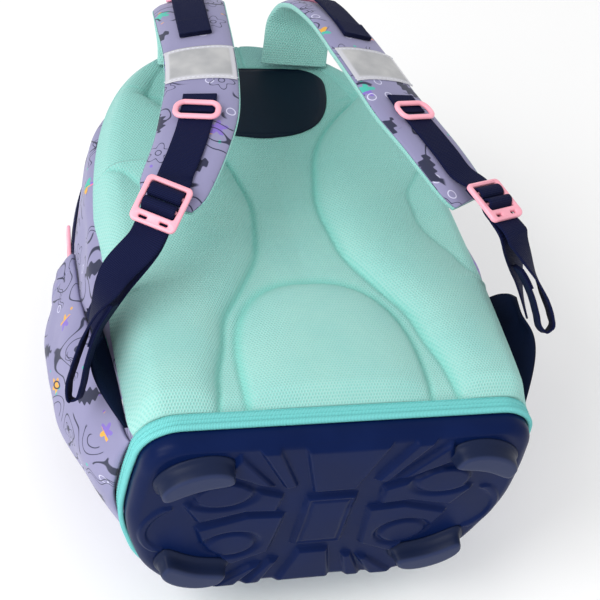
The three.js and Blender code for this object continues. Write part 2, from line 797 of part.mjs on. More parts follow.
function strapLayer(side, top) {
  const columns = [-1, -0.9, -0.35, 0.35, 0.9, 1];
  const face = (outer) => (u, v) => {
    const share = columns[Math.round(u * (columns.length - 1))];
    const frame = strapFrame(v);
    const x = share * (frame.width / 2);
    const edge = 1 - Math.abs(share) ** 3;
    if (top) return strapPoint(side, v, x, outer ? coverTop(share) : seat);
    return strapPoint(side, v, x, -2 * seat - (outer ? 0 : liningThick * (0.5 + 0.5 * edge)));
  };
  return sheet(columns.length - 1, strapRows, face(true), face(false));
}

// Corners of a webbing's section, in halves of its width and thickness
const ribbonCorners = [[-1, -1], [1, -1], [1, 1], [-1, 1]];

// A webbing of even width along given frames: points with an across direction each
function ribbon(stops, width, thick, steps) {
  const line = new THREE.CatmullRomCurve3(stops.map((stop) => stop.at), false, "centripetal");
  const last = stops.length - 1;
  const rings = [];
  for (let i = 0; i <= steps; i++) {
    const t = i / steps;
    const k = Math.min(last - 1, Math.floor(t * last));
    const across = stops[k].across.clone().lerp(stops[k + 1].across, t * last - k);
    const along = line.getTangent(t);
    across.addScaledVector(along, -across.dot(along)).normalize();
    const normal = new THREE.Vector3().crossVectors(across, along);
    const middle = line.getPoint(t);
    across.multiplyScalar(width / 2);
    normal.setLength(thick / 2);
    rings.push(
      ribbonCorners.map(([a, n]) =>
        middle.clone().addScaledVector(across, a).addScaledVector(normal, n).toArray(),
      ),
    );
  }
  return loft(rings);
}

function strapStop(side, t, height) {
  const frame = strapFrame(t);
  const at = frame.middle.clone().addScaledVector(frame.normal, height);
  at.x *= side;
  const across = frame.across.clone();
  across.x *= side;
  return { at, across };
}

// Places on the strap, from 0 at the root to 1 at the tip
const bandPlace = [0.545, 0.632];
const keeperPlace = [0.685, 0.74];
const loopPlace = 0.742;
const loopLift = 3 * seat + webThick + loopThick / 2;

function reflectiveBand(side) {
  const columns = [-0.9, -0.45, 0, 0.45, 0.9];
  const face = (extra) => (u, v) => {
    const share = columns[Math.round(u * (columns.length - 1))];
    const t = bandPlace[0] + v * (bandPlace[1] - bandPlace[0]);
    const x = share * (strapFrame(t).width / 2);
    return strapPoint(side, t, x, coverTop(share) + seat + extra);
  };
  return sheet(columns.length - 1, 4, face(bandThick), face(0));
}

function keeper(side) {
  const stops = [keeperPlace[0], (keeperPlace[0] + keeperPlace[1]) / 2, keeperPlace[1]].map((t) =>
    strapStop(side, t, coverTop(0) + seat * 2 + webThick / 2),
  );
  return ribbon(stops, webWidth, webThick, 3);
}

function plateOnStrap(geometry, side, t, height) {
  const frame = strapFrame(t);
  const middle = frame.middle.clone().addScaledVector(frame.normal, height);
  const mirror = (vector) => new THREE.Vector3(side * vector.x, vector.y, vector.z);
  const [across, along] = [mirror(frame.across), mirror(frame.along)];
  const normal = new THREE.Vector3().crossVectors(across, along);
  return place(geometry, mirror(middle), across, along, normal);
}

function loopPlate() {
  const window = (middle) =>
    roundedBox(loopWidth - 2 * loopBar, (loopLength - 3 * loopBar * 0.8) / 2, 1, [0, middle], 1);
  const shift = (loopLength - loopBar * 0.8) / 4;
  return plate(roundedBox(loopWidth, loopLength, 5), [window(shift), window(-shift)], loopThick);
}

// Ladder-lock buckle: two windows for the webbing and two short slots in its lower lip
const windowLength = 9.5;
const barLength = 3.2;
const barClear = buckleThick / 2 + webThick / 2 + 1.4;

function bucklePlate() {
  const top = buckleLength / 2;
  const inner = buckleWidth - 2 * buckleRail;
  const upper = top - barLength - windowLength / 2;
  const lower = upper - windowLength - barLength;
  const windows = [upper, lower].map((middle) => roundedBox(inner, windowLength, 1, [0, middle], 1));
  const lip = -top + (buckleLength - 2 * barLength - 2 * windowLength) / 2 - 0.6;
  const slots = [-1, 1].map((side) => roundedBox(6, 2.4, 1, [side * 7.5, lip], 2));
  return plate(roundedBox(buckleWidth, buckleLength, 4), [...windows, ...slots], buckleThick);
}

// Where each side's buckle, gusset tip and tail hang: places as shares of the half width, the bag
// height and the strap's rise over the panel's plane, directions as unit-free columns. The tail
// leaves the buckle, turns at its lowest place and comes back; turn is its twist out of the buckle
const sides = {
  left: {
    sign: -1,
    buckle: { x: -0.79, y: 0.358, z: 0.94, across: [0.83, -0.56, 0.04], along: [0.5, 0.76, 0.42] },
    tip: { x: -1.075, y: 0.278, z: -0.03, across: [0.1, -0.97, 0.1] },
    guide: { x: -0.965, y: 0.3, z: 0.4 },
    tailAcross: [-0.3, -0.62, 0.72],
    tail: [
      { x: -0.993, y: 0.282, z: 0.593, turn: 0.15 },
      { x: -1.048, y: 0.26, z: 0.483, turn: 0.4 },
      { x: -1.102, y: 0.237, z: 0.354, turn: 0.75 },
      { x: -1.146, y: 0.211, z: 0.191, turn: 1 },
      { x: -1.184, y: 0.189, z: 0.011, turn: 1 },
      { x: -1.208, y: 0.17, z: -0.145, turn: 1 },
      { x: -1.2, y: 0.156, z: -0.227, turn: 1 },
      { x: -1.17, y: 0.154, z: -0.215, turn: 1 },
      { x: -1.147, y: 0.167, z: -0.133, turn: 1 },
      { x: -1.125, y: 0.19, z: 0.02, turn: 1 },
      { x: -1.08, y: 0.219, z: 0.22, turn: 1 },
      { x: -1.01, y: 0.242, z: 0.4, turn: 1 },
    ],
  },
  right: {
    sign: 1,
    buckle: { x: 0.82, y: 0.345, z: 0.99, across: [0.89, 0.4, -0.21], along: [-0.42, 0.9, 0.12] },
    tip: { x: 1.12, y: 0.285, z: -0.03, across: [0.2, 0.95, -0.2] },
    guide: { x: 1, y: 0.29, z: 0.45 },
    tailAcross: [0.3, 0.62, -0.72],
    tail: [
      { x: 0.91, y: 0.269, z: 0.849, turn: 0.2 },
      { x: 0.95, y: 0.247, z: 0.756, turn: 0.5 },
      { x: 0.993, y: 0.226, z: 0.655, turn: 0.8 },
      { x: 1.038, y: 0.204, z: 0.534, turn: 1 },
      { x: 1.075, y: 0.183, z: 0.415, turn: 1 },
      { x: 1.084, y: 0.17, z: 0.336, turn: 1 },
      { x: 1.058, y: 0.166, z: 0.286, turn: 1 },
      { x: 1.032, y: 0.175, z: 0.303, turn: 1 },
      { x: 1.017, y: 0.192, z: 0.376, turn: 1 },
      { x: 0.988, y: 0.213, z: 0.489, turn: 1 },
      { x: 0.95, y: 0.233, z: 0.587, turn: 1 },
      { x: 0.913, y: 0.248, z: 0.656, turn: 1 },
    ],
  },
};

function spot({ x, y, z }) {
  return new THREE.Vector3(x * half, y * bagHeight, backZ + z * strapRise);
}

function buckleFrame(side) {
  const { buckle } = sides[side];
  const across = new THREE.Vector3(...buckle.across).normalize();
  const along = new THREE.Vector3(...buckle.along);
  along.addScaledVector(across, -along.dot(across)).normalize();
  const normal = new THREE.Vector3().crossVectors(across, along);
  return { middle: spot(buckle), across, along, normal };
}

function buckleSpot(frame, along, height) {
  const at = frame.middle.clone().addScaledVector(frame.along, along).addScaledVector(frame.normal, height);
  return { at, across: frame.across.clone() };
}

// Webbing from the loop down the strap and round the buckle's top bar
function strapWebbing(side) {
  const { sign } = sides[side];
  const frame = buckleFrame(side);
  const height = coverTop(0) + 2 * seat + webThick / 2;
  const stops = [];
  for (const [t, lift] of [[loopPlace + 0.035, 0], [0.8, 0], [0.85, 0.5], [0.9, 2.4]]) {
    const stop = strapStop(sign, t, height + lift);
    if (sign < 0) stop.across.negate();
    stops.push(stop);
  }
  const bar = buckleLength / 2 - barLength / 2;
  const turn = barLength / 2 + webThick / 2;
  stops.push(buckleSpot(frame, bar + turn + 1, barClear + 0.8));
  stops.push(buckleSpot(frame, bar - turn + 1, barClear));
  stops.push(buckleSpot(frame, bar - turn - 0.9, 0));
  stops.push(buckleSpot(frame, bar - turn + 1, -barClear));
  stops.push(buckleSpot(frame, bar + turn, -barClear));
  return ribbon(stops, webWidth, webThick, 28);
}

// Webbing from the gusset's tip, up through the buckle over its middle bar and down to the free tail
function lowerWebbing(side) {
  const hang = sides[side];
  const frame = buckleFrame(side);
  const middleBar = buckleLength / 2 - 1.5 * barLength - windowLength;
  const turn = barLength / 2 + webThick / 2;
  const tailAcross = new THREE.Vector3(...hang.tailAcross).normalize();
  const tipAcross = new THREE.Vector3(...hang.tip.across).normalize();
  const under = barClear + webThick + 2 * seat;
  const stops = [
    { at: spot(hang.tip), across: tipAcross },
    { at: spot(hang.guide), across: frame.across.clone().lerp(tipAcross, 0.5) },
    buckleSpot(frame, -buckleLength / 2 - 8, -under - 2),
    buckleSpot(frame, -buckleLength / 2 + 5, -under),
    buckleSpot(frame, middleBar - 3, -under + 0.4),
    buckleSpot(frame, middleBar + turn - 1, -barClear),
    buckleSpot(frame, middleBar + turn + 1.2, 0),
    buckleSpot(frame, middleBar + turn - 1, barClear),
    buckleSpot(frame, middleBar - turn + 1, barClear),
    buckleSpot(frame, middleBar - turn - 1.4, 0),
    buckleSpot(frame, middleBar - windowLength + 0.8, -barClear - 0.2),
    buckleSpot(frame, -buckleLength / 2 + 4, -barClear),
    buckleSpot(frame, -buckleLength / 2 - 10, -barClear + 0.5),
  ];
  for (const row of hang.tail) {
    stops.push({ at: spot(row), across: frame.across.clone().lerp(tailAcross, row.turn) });
  }
  return ribbon(stops, webWidth, webThick, 2 * (stops.length - 1));
}

// Gussets: a cloth triangle from the panel's edge to the webbing's tip
const gussetFoot = 0.09;
const gussetTop = 0.345;
const gussetDepth = 0.115;
const gussetBow = 4;
const gussetReach = 0.06;
const tipGap = 2.8;

function gusset(side) {
  const hang = sides[side];
  const tip = spot(hang.tip);
  const tipAcross = new THREE.Vector3(...hang.tip.across).normalize();
  const face = (outer) => (u, v) => {
    const y = bagHeight * (gussetFoot + v * (gussetTop - gussetFoot));
    const wall = sideWall(gussetDepth, y, 3 * seat + (outer ? gussetThick : 0));
    const root = new THREE.Vector3(hang.sign * wall, y, backZ - gussetDepth * bodyDepth);
    const lower = tipAcross.y > 0 ? -1 : 1;
    const end = tip.clone().addScaledVector(tipAcross, lower * (0.5 - v) * webWidth);
    end.x += hang.sign * ((outer ? gussetThick : 0) - webThick / 2 - gussetThick - tipGap);
    const point = root.lerp(end, u);
    const bow = gussetBow + half * gussetReach * (1 - v) ** 1.5;
    point.x += hang.sign * bow * Math.sin(Math.PI * u);
    point.y += (0.5 - v) * bagHeight * 0.05 * Math.sin(Math.PI * u);
    return point.toArray();
  };
  return sheet(5, 6, face(true), face(false));
}

// Load lifter: a tab sewn on the strap, its buckle at the strap's bend and the strand to the bag
const lifterPlace = [0.515, 0.36];

function lifterWebbing(side) {
  const height = coverTop(0) + 2 * seat + webThick / 2;
  const stops = [];
  for (let k = 0; k <= 4; k++) {
    const t = lifterPlace[0] + (k / 4) * (lifterPlace[1] - lifterPlace[0]);
    stops.push(strapStop(side, t, height + 3 * (k / 4) ** 2));
  }
  return ribbon(stops, webWidth, webThick, 2 * (stops.length - 1));
}

const lifterBuckleLength = 14;

function lifterPlate() {
  const windowSize = (lifterBuckleLength - 3 * loopBar * 0.7) / 2;
  const shift = (lifterBuckleLength - loopBar * 0.7) / 4;
  const holes = [shift, -shift].map((y) => roundedBox(loopWidth - 2 * loopBar, windowSize, 0.8, [0, y], 1));
  const outline = roundedBox(loopWidth, lifterBuckleLength, 3);
  return plate(outline, holes, loopThick);
}

// The lifter's buckle lies past the strap's bend, with a strand from it down to the body's top
const lifterSpot = 0.3;
const lifterFoot = 0.36;
const strandPress = 0.15;

function lifterStrand(side) {
  const lift = coverTop(0) + 3 * seat + loopThick / 2;
  const start = strapStop(side, lifterSpot - 0.064, lift + 1);
  const depth = 0.12;
  const top = bagHeight * lookUp(bodyLevels, "depth", depth, "top") + 2 * seat + webThick;
  const archAt = (x) => {
    const share = x / bodyWidth(depth);
    const y = bodyMiddle + (top - bodyMiddle) * (1 - share ** archPower) ** (1 / archPower);
    return new THREE.Vector3(side * x, y, backZ - depth * bodyDepth);
  };
  const inner = archAt(lifterFoot * half - webWidth / 2);
  const outer = archAt(lifterFoot * half + webWidth / 2);
  const foot = inner.clone().add(outer).multiplyScalar(0.5);
  foot.y -= strandPress;
  const bend = start.at.clone().lerp(foot, 0.6);
  bend.y += 5;
  const footAcross = outer.sub(inner).normalize();
  const stops = [start, { at: bend, across: start.across }, { at: foot, across: footAcross }];
  return ribbon(stops, webWidth, webThick, 8);
}

// Height of the body's arch at a depth and a place across the bag
function archTop(depth, x) {
  const top = bagHeight * lookUp(bodyLevels, "depth", depth, "top");
  const share = x / bodyWidth(depth);
  return bodyMiddle + (top - bodyMiddle) * (1 - share ** archPower) ** (1 / archPower);
}

// Carrying handle: a padded strip that arches over the top between the straps
function handle() {
  const z = backZ - handleDepth * bodyDepth;
  const foot = archTop(handleDepth, handleSpan / 2) + handleLift;
  const across = new THREE.Vector3(0, 0, 1);
  const stops = [];
  for (let k = 0; k <= 8; k++) {
    const angle = (k / 8) * Math.PI;
    const x = (handleSpan / 2) * Math.sign(Math.cos(angle)) * Math.abs(Math.cos(angle)) ** 0.6;
    stops.push({ at: new THREE.Vector3(x, foot + handleRise * Math.sin(angle) ** 0.6, z), across });
  }
  return ribbon(stops, handleWidth, handleThick, 2 * (stops.length - 1));
}

add("back_shell", backShell(), colours.lilac);
add("front_shell", frontShell(), colours.lilac);
addMainZip();
add("front_pocket", frontPocket(), colours.lilac);
add("front_pocket_zip", pocketZip(), colours.navy);
for (const [name, side] of [["left", -1], ["right", 1]]) {
  add(`side_pocket_${name}`, sidePocket(side), colours.lilac);
  add(`side_gusset_${name}`, gusset(name), colours.navy);
}
add("base", base(), colours.navy, 0.5);
for (const row of footPlaces) add(row.name, foot(row), colours.foot, 0.5);
add("base_binding", binding(), colours.mintBinding);
add("back_panel", backPanel(), colours.mint);
add("back_patch", backPatch(), colours.patch);
for (const [name, side] of [["left", -1], ["right", 1]]) {
  const frame = buckleFrame(name);
  add(`strap_cover_${name}`, strapLayer(side, true), colours.lilac);
  add(`strap_lining_${name}`, strapLayer(side, false), colours.mint);
  add(`reflective_band_${name}`, reflectiveBand(side), colours.grey, 0.4);
  add(`strap_keeper_${name}`, keeper(side), colours.webbing);
  const loop = plateOnStrap(loopPlate(), side, loopPlace, coverTop(0) + loopLift);
  add(`strap_loop_${name}`, loop, colours.pink, 0.45);
  add(`strap_webbing_${name}`, strapWebbing(name), colours.webbing);
  const buckle = place(bucklePlate(), frame.middle, frame.across, frame.along, frame.normal);
  add(`strap_buckle_${name}`, buckle, colours.pink, 0.45);
  add(`lower_webbing_${name}`, lowerWebbing(name), colours.webbing);
  add(`lifter_webbing_${name}`, lifterWebbing(side), colours.webbing);
  const lifter = plateOnStrap(lifterPlate(), side, lifterSpot, coverTop(0) + loopThick / 2);
  add(`lifter_buckle_${name}`, lifter, colours.pink, 0.45);
  add(`lifter_strand_${name}`, lifterStrand(side), colours.webbing);
}
add("grab_handle", handle(), colours.webbing);

export default bag;
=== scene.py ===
"""Looks of a school backpack that lies on its front pocket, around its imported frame.

Sizes are in millimetres until a mesh is made. X runs across the bag, Y up the bag from the face of
its moulded base, Z out of the padded back; the frame's own origin is REST_MIDDLE further up.
"""
import math

import bpy
import numpy as np
from mathutils import Matrix, Vector


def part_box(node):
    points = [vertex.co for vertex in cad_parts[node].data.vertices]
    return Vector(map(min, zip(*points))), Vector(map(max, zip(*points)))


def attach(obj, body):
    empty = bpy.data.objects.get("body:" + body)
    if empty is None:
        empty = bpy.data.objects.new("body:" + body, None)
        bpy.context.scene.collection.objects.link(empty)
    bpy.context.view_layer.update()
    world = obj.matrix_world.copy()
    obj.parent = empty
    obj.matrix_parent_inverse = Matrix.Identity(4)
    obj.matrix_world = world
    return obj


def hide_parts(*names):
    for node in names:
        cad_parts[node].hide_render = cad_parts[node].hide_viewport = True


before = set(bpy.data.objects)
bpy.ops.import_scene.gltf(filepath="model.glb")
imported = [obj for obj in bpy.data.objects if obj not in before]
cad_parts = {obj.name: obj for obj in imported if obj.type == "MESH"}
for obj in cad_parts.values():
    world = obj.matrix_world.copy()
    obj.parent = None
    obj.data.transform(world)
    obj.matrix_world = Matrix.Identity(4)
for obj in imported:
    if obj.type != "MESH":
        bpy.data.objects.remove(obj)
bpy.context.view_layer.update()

# Sizes of the bag, as in the frame
MM = 0.001
HALF = 146.0
HEIGHT = 395.0
DEPTH = 168.0
REST_MIDDLE = 151.0
FRONT_Z = 40.0
BACK_Z = FRONT_Z + DEPTH
BODY_FOOT = 17.3
BODY_MIDDLE = 0.28 * HEIGHT
ARCH_POWER = 2.8
CORNER_POWER = 12.0
CLOTH = 2.0
SEAT = 0.3
ZIP_DEPTH = 0.42
ZIP_END = 0.048
BASE_DEPTH = 17.0
BASE_SHRINK = 0.975
BASE_REACH = 1.035
BINDING_WIDTH = 13.0
BINDING_OVERLAP = 4.0
PANEL_FOOT = BASE_DEPTH + BINDING_WIDTH - BINDING_OVERLAP + SEAT
PANEL_TOP = HEIGHT - 1.0
PANEL_REACH = 0.976
PANEL_WRAP = 17.0
WRAP_START = 0.86
STRAP_WIDTH = 54.0
STRAP_RISE = 86.0
WEB_WIDTH = 24.0
WEB_THICK = 1.6


# Tables and curves

def smooth(keys, values, at):
    """A smooth curve through a table's rows, kept flat before the first and after the last."""
    keys, values = np.asarray(keys, float), np.asarray(values, float)
    slopes = np.gradient(values, keys)
    at = np.clip(np.asarray(at, float), keys[0], keys[-1])
    k = np.clip(np.searchsorted(keys, at, side="right") - 1, 0, len(keys) - 2)
    step = keys[k + 1] - keys[k]
    t = (at - keys[k]) / step
    a, b = values[k], values[k + 1]
    return (
        a * (2 * t**3 - 3 * t**2 + 1)
        + b * (3 * t**2 - 2 * t**3)
        + slopes[k] * step * (t**3 - 2 * t**2 + t)
        + slopes[k + 1] * step * (t**3 - t**2)
    )


def rows(names, *values):
    """A table as a list of rows with named columns."""
    return [dict(zip(names.split(), row)) for row in values]


def column(table, name):
    return [row[name] for row in table]


def read(table, name, at):
    """One column of a table as a smooth curve over its first column."""
    return smooth(column(table, next(iter(table[0]))), column(table, name), at)


def stack(*parts):
    """Points from their coordinates, each an array or one number for all."""
    return np.stack(np.broadcast_arrays(*parts), axis=-1)


def step_between(low, high, value):
    t = np.clip((value - low) / (high - low), 0, 1)
    return t * t * (3 - 2 * t)


def spline(points, at):
    """Centripetal curve through points, at places from 0 to 1; each span takes an equal share."""
    p = np.asarray(points, float)
    p = np.vstack([2 * p[0] - p[1], p, 2 * p[-1] - p[-2]])
    spans = len(p) - 3
    place = np.clip(np.asarray(at, float), 0, 1) * spans
    k = np.minimum(place.astype(int), spans - 1)
    w = (place - k)[:, None]
    a, b, c, d = p[k], p[k + 1], p[k + 2], p[k + 3]

    def gap(u, v):
        return np.maximum(np.linalg.norm(v - u, axis=1), 1e-6)[:, None] ** 0.5

    g0, g1, g2 = gap(a, b), gap(b, c), gap(c, d)
    t1 = ((b - a) / g0 - (c - a) / (g0 + g1) + (c - b) / g1) * g1
    t2 = ((c - b) / g1 - (d - b) / (g1 + g2) + (d - c) / g2) * g1
    return b + t1 * w + (3 * (c - b) - 2 * t1 - t2) * w**2 + (2 * (b - c) + t1 + t2) * w**3


def tangents(points):
    t = np.gradient(points, axis=0)
    return t / np.linalg.norm(t, axis=1)[:, None]


def unit(v):
    v = np.asarray(v, float)
    return v / np.linalg.norm(v, axis=-1, keepdims=True)


def lengths(points):
    """Distance along a line of points, from its start."""
    return np.concatenate([[0], np.cumsum(np.linalg.norm(np.diff(points, axis=0), axis=1))])


def resample(points, count, closed=False):
    points = np.asarray(points, float)
    if closed:
        points = np.vstack([points, points[:1]])
    along = lengths(points)
    at = np.linspace(0, along[-1], count + 1 if closed else count)
    out = stack(*(np.interp(at, along, values) for values in points.T))
    return out[:-1] if closed else out


def beside(ring):
    """Directions square to a closed flat ring of points."""
    t = unit(np.roll(ring, -1, axis=0) - np.roll(ring, 1, axis=0))
    return stack(t[:, 1], -t[:, 0])


def signed_power(value, power):
    return np.sign(value) * np.abs(value) ** power


def circle(count):
    return np.arange(count) / count * 2 * math.pi


def groove(distance, width):
    """A soft groove, 1 at its middle."""
    return np.exp(-(distance / width) ** 2)


def square_to(v, along):
    """Directions v made square to the directions along."""
    return unit(v - along * np.sum(v * along, axis=1)[:, None])


# Meshes

def mesh_object(name, points, faces, finish, cloth=None):
    """A mesh from points in millimetres; cloth gives each face corner its place on the cloth."""
    material, slot = FINISHES[finish]
    mesh = bpy.data.meshes.new(name)
    mesh.from_pydata(((np.asarray(points, float) - [0, REST_MIDDLE, 0]) * MM).tolist(), [], faces)
    if cloth is not None:
        layer = mesh.attributes.new("cloth", "FLOAT_VECTOR", "CORNER")
        layer.data.foreach_set("vector", np.asarray(cloth, np.float32).ravel())
    mesh.update()
    mesh.shade_smooth()
    obj = bpy.data.objects.new(name, mesh)
    bpy.context.scene.collection.objects.link(obj)
    mesh.materials.append(material)
    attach(obj, "root")
    return obj


def point_value(obj, name, values):
    layer = obj.data.attributes.new(name, "FLOAT", "POINT")
    layer.data.foreach_set("value", np.asarray(values, np.float32).ravel())


def grid_faces(across, along, wrap_across=False, wrap_along=False, start=0):
    """Faces over a grid of points, and the grid place of each corner."""
    faces, corners = [], []
    for j in range(along if wrap_along else along - 1):
        for i in range(across if wrap_across else across - 1):
            ring = [(i, j), (i + 1, j), (i + 1, j + 1), (i, j + 1)]
            faces.append([start + (b % along) * across + a % across for a, b in ring])
            corners.extend(ring)
    return faces, corners


def grid_rim(across, along):
    """Grid places round the edge of a grid, in order."""
    right, far = across - 1, along - 1
    rim = [(i, 0) for i in range(right)] + [(right, j) for j in range(far)]
    return rim + [(i, far) for i in range(right, 0, -1)] + [(0, j) for j in range(far, 0, -1)]


def outwards(points, faces, corners):
    """Turns all faces if the body they close is inside out."""
    p = np.asarray(points, float)
    volume = 0.0
    for places in ((0, 1, 2), (0, 2, 3)):
        a, b, c = p[[[f[k] for k in places] for f in faces if len(f) > places[2]]].transpose(1, 0, 2)
        volume += np.einsum("ij,ij->i", a, np.cross(b, c)).sum()
    if volume > 0:
        return faces, corners
    turned, k = [], 0
    for f in faces:
        turned.extend(corners[k:k + len(f)][::-1])
        k += len(f)
    return [f[::-1] for f in faces], turned


def cloth_places(corners, u, v):
    """The place on the cloth of each corner, from the rows' and columns' own lengths."""
    return [(u[a], v[b], 0.0) if a < len(u) and b < len(v) else (0.0, 0.0, 0.0) for a, b in corners]


def loft(name, rings, finish, closed=False, cloth=None):
    """Closed rings of points one after another, with a face at each end or joined to the start."""
    rings = np.asarray(rings, float)
    along, across = rings.shape[:2]
    faces, corners = grid_faces(across, along, True, closed)
    points = rings.reshape(-1, 3)
    if not closed:
        points = np.vstack([points, rings[0].mean(0), rings[-1].mean(0)])
        ends = ((0, along * across, (1, 0, 2)), (along - 1, along * across + 1, (0, 1, 2)))
        for end, centre, order in ends:
            for i in range(across):
                face = [end * across + i, end * across + (i + 1) % across, centre]
                places = [(i, end), (i + 1, end), (i, end)]
                faces.append([face[k] for k in order])
                corners.extend(places[k] for k in order)
    faces, corners = outwards(points, faces, corners)
    if cloth is None:
        around, line = rings[along // 2], rings.mean(axis=1)
        u = lengths(np.vstack([around, around[:1]]))
        cloth = (u, lengths(np.vstack([line, line[:1]]) if closed else line))
    return mesh_object(name, points, faces, finish, cloth_places(corners, *cloth))


def sheet(name, outer, inner, finish, cloth):
    """A closed cloth between two grids of points that match."""
    along, across = outer.shape[:2]
    count = along * across
    points = np.vstack([outer.reshape(-1, 3), inner.reshape(-1, 3)])
    faces, corners = grid_faces(across, along)
    faces += [f[::-1] for f in grid_faces(across, along, start=count)[0]]
    corners += [c for k in range(0, len(corners), 4) for c in corners[k:k + 4][::-1]]
    rim = grid_rim(across, along)
    for (a, b), (c, d) in zip(rim, rim[1:] + rim[:1]):
        one, two = b * across + a, d * across + c
        faces.append([two, one, one + count, two + count])
        corners.extend([(c, d), (a, b), (a, b), (c, d)])
    faces, corners = outwards(points, faces, corners)
    return mesh_object(name, points, faces, finish, cloth_places(corners, *cloth))


# Materials

class Value:
    """A number or a vector of a material's nodes; its sums and products are nodes of their own."""

    def __init__(self, shade, socket):
        self.shade, self.socket = shade, socket
        self.is_vector = socket.type in ("VECTOR", "RGBA")

    def combine(self, operation, *inputs):
        return (self.shade.vector if self.is_vector else self.shade.math)(operation, *inputs)

    def __add__(self, other):
        return self.combine("ADD", self, other)

    def __sub__(self, other):
        return self.combine("SUBTRACT", self, other)

    def __rsub__(self, other):
        return self.combine("SUBTRACT", other, self)

    def __mul__(self, other):
        if self.is_vector and isinstance(other, float):
            other = (other,) * 3
        return self.combine("MULTIPLY", self, other)

    def __or__(self, other):
        return self.combine("MAXIMUM", self, other)

    def __abs__(self):
        return self.combine("ABSOLUTE", self)


class Shade:
    """One material's nodes. Every call gives a value that the next one takes."""

    def __init__(self, name, roughness, **constant):
        self.material = bpy.data.materials.new(name)
        self.material.use_nodes = True
        self.tree = self.material.node_tree
        self.surface = self.tree.nodes["Principled BSDF"]
        for socket, value in {"Roughness": roughness, **constant}.items():
            self.feed(self.surface.inputs[socket.replace("_", " ")], value)

    def feed(self, socket, value):
        if isinstance(value, Value):
            self.tree.links.new(value.socket, socket)
        else:
            socket.default_value = (*value, 1.0) if socket.type == "RGBA" else value

    def node(self, kind, *inputs, **settings):
        made = self.tree.nodes.new("ShaderNode" + kind)
        for key, value in settings.items():
            setattr(made, key, value)
        for socket, value in zip(made.inputs, inputs):
            self.feed(socket, value)
        return made

    def out(self, made, output=0):
        return Value(self, made.outputs[output])

    def math(self, operation, *inputs):
        return self.out(self.node("Math", *inputs, operation=operation))

    def vector(self, operation, *inputs):
        made = self.node("VectorMath", *inputs, operation=operation)
        return self.out(made, "Value" if operation == "LENGTH" else "Vector")

    def sine(self, value):
        return self.math("SINE", value)

    def attribute(self, name, output="Fac"):
        return self.out(self.node("Attribute", attribute_name=name), output)

    def cloth(self):
        """Place on the cloth, in millimetres."""
        return self.attribute("cloth", "Vector")

    def solid(self):
        """Place on a solid piece, in millimetres."""
        return self.out(self.node("TexCoord"), "Object") * (1 / MM)

    def split(self, place):
        made = self.node("SeparateXYZ", place)
        return [self.out(made, k) for k in range(3)]

    def ramp(self, value, low, high):
        return self.out(self.node("MapRange", value, low, high, 0.0, 1.0, interpolation_type="SMOOTHSTEP"))

    def noise(self, place, size, detail=2.0):
        made = self.node("TexNoise", place * (1 / size))
        made.inputs["Scale"].default_value = 1.0
        made.inputs["Detail"].default_value = detail
        return self.out(made)

    def mix(self, share, a, b):
        made = self.node("Mix", data_type="RGBA")
        for k, value in ((0, share), (6, a), (7, b)):
            self.feed(made.inputs[k], value)
        return self.out(made, 2)

    def bump(self, height, distance, strength):
        made = self.node("Bump")
        for socket, value in (("Strength", strength), ("Distance", distance * MM), ("Height", height)):
            self.feed(made.inputs[socket], value)
        self.feed(self.surface.inputs["Normal"], self.out(made))

    def done(self, colour):
        self.feed(self.surface.inputs["Base Color"], colour)
        return self.material


LILAC = (0.25, 0.24, 0.4)
LILAC_DEEP = (0.19, 0.185, 0.33)
NAVY_INK = (0.012, 0.015, 0.05)
MINT = (0.35, 0.64, 0.59)
MINT_CREASE_SHADE = (0.14, 0.56, 0.48)
BINDING = (0.2, 0.68, 0.67)
PINK = (0.88, 0.37, 0.46)
ACCENTS = (
    (0.0, (0.05, 0.45, 0.36)),
    (0.26, (0.7, 0.36, 0.04)),
    (0.44, (0.2, 0.13, 0.5)),
    (0.66, (0.82, 0.14, 0.28)),
    (0.84, (0.72, 0.72, 0.8)),
)
FLAT, CENTRE = (1.0, 1.0, 0.0), (0.5, 0.5, 0.0)


def toned(colour, factor, lift=0.0):
    return tuple(c * factor + lift for c in colour)


def weave(s, place, pitch):
    """Height of a plain weave: threads over and under each other."""
    x, y, _ = s.split(place * (math.pi / pitch))
    return s.sine(x) * s.sine(y)


def motif_cells(s, place, size, seed):
    """Loose cells over the cloth: the place inside each, turned by chance, and two chance values."""
    shifted = place * (1 / size) + (seed, seed * 0.37, 0.0)
    cell = s.vector("FLOOR", shifted * FLAT)
    chance = s.out(s.node("TexWhiteNoise", cell, noise_dimensions="3D"), "Color")
    turn, pick, tint = s.split(chance)
    inside = shifted - (cell + CENTRE) - (chance - (0.5, 0.5, 0.5)) * (0.3, 0.3, 0.0)
    turned = s.node("VectorRotate", inside * FLAT, rotation_type="Z_AXIS")
    s.feed(turned.inputs["Angle"], turn * 6.28)
    return s.out(turned), pick, tint


def is_kind(s, chance, low, high):
    return s.math("GREATER_THAN", chance, low) * s.math("LESS_THAN", chance, high)


def thin_line(s, distance, width):
    return 1.0 - s.ramp(abs(distance), width * 0.6, width * 1.3)


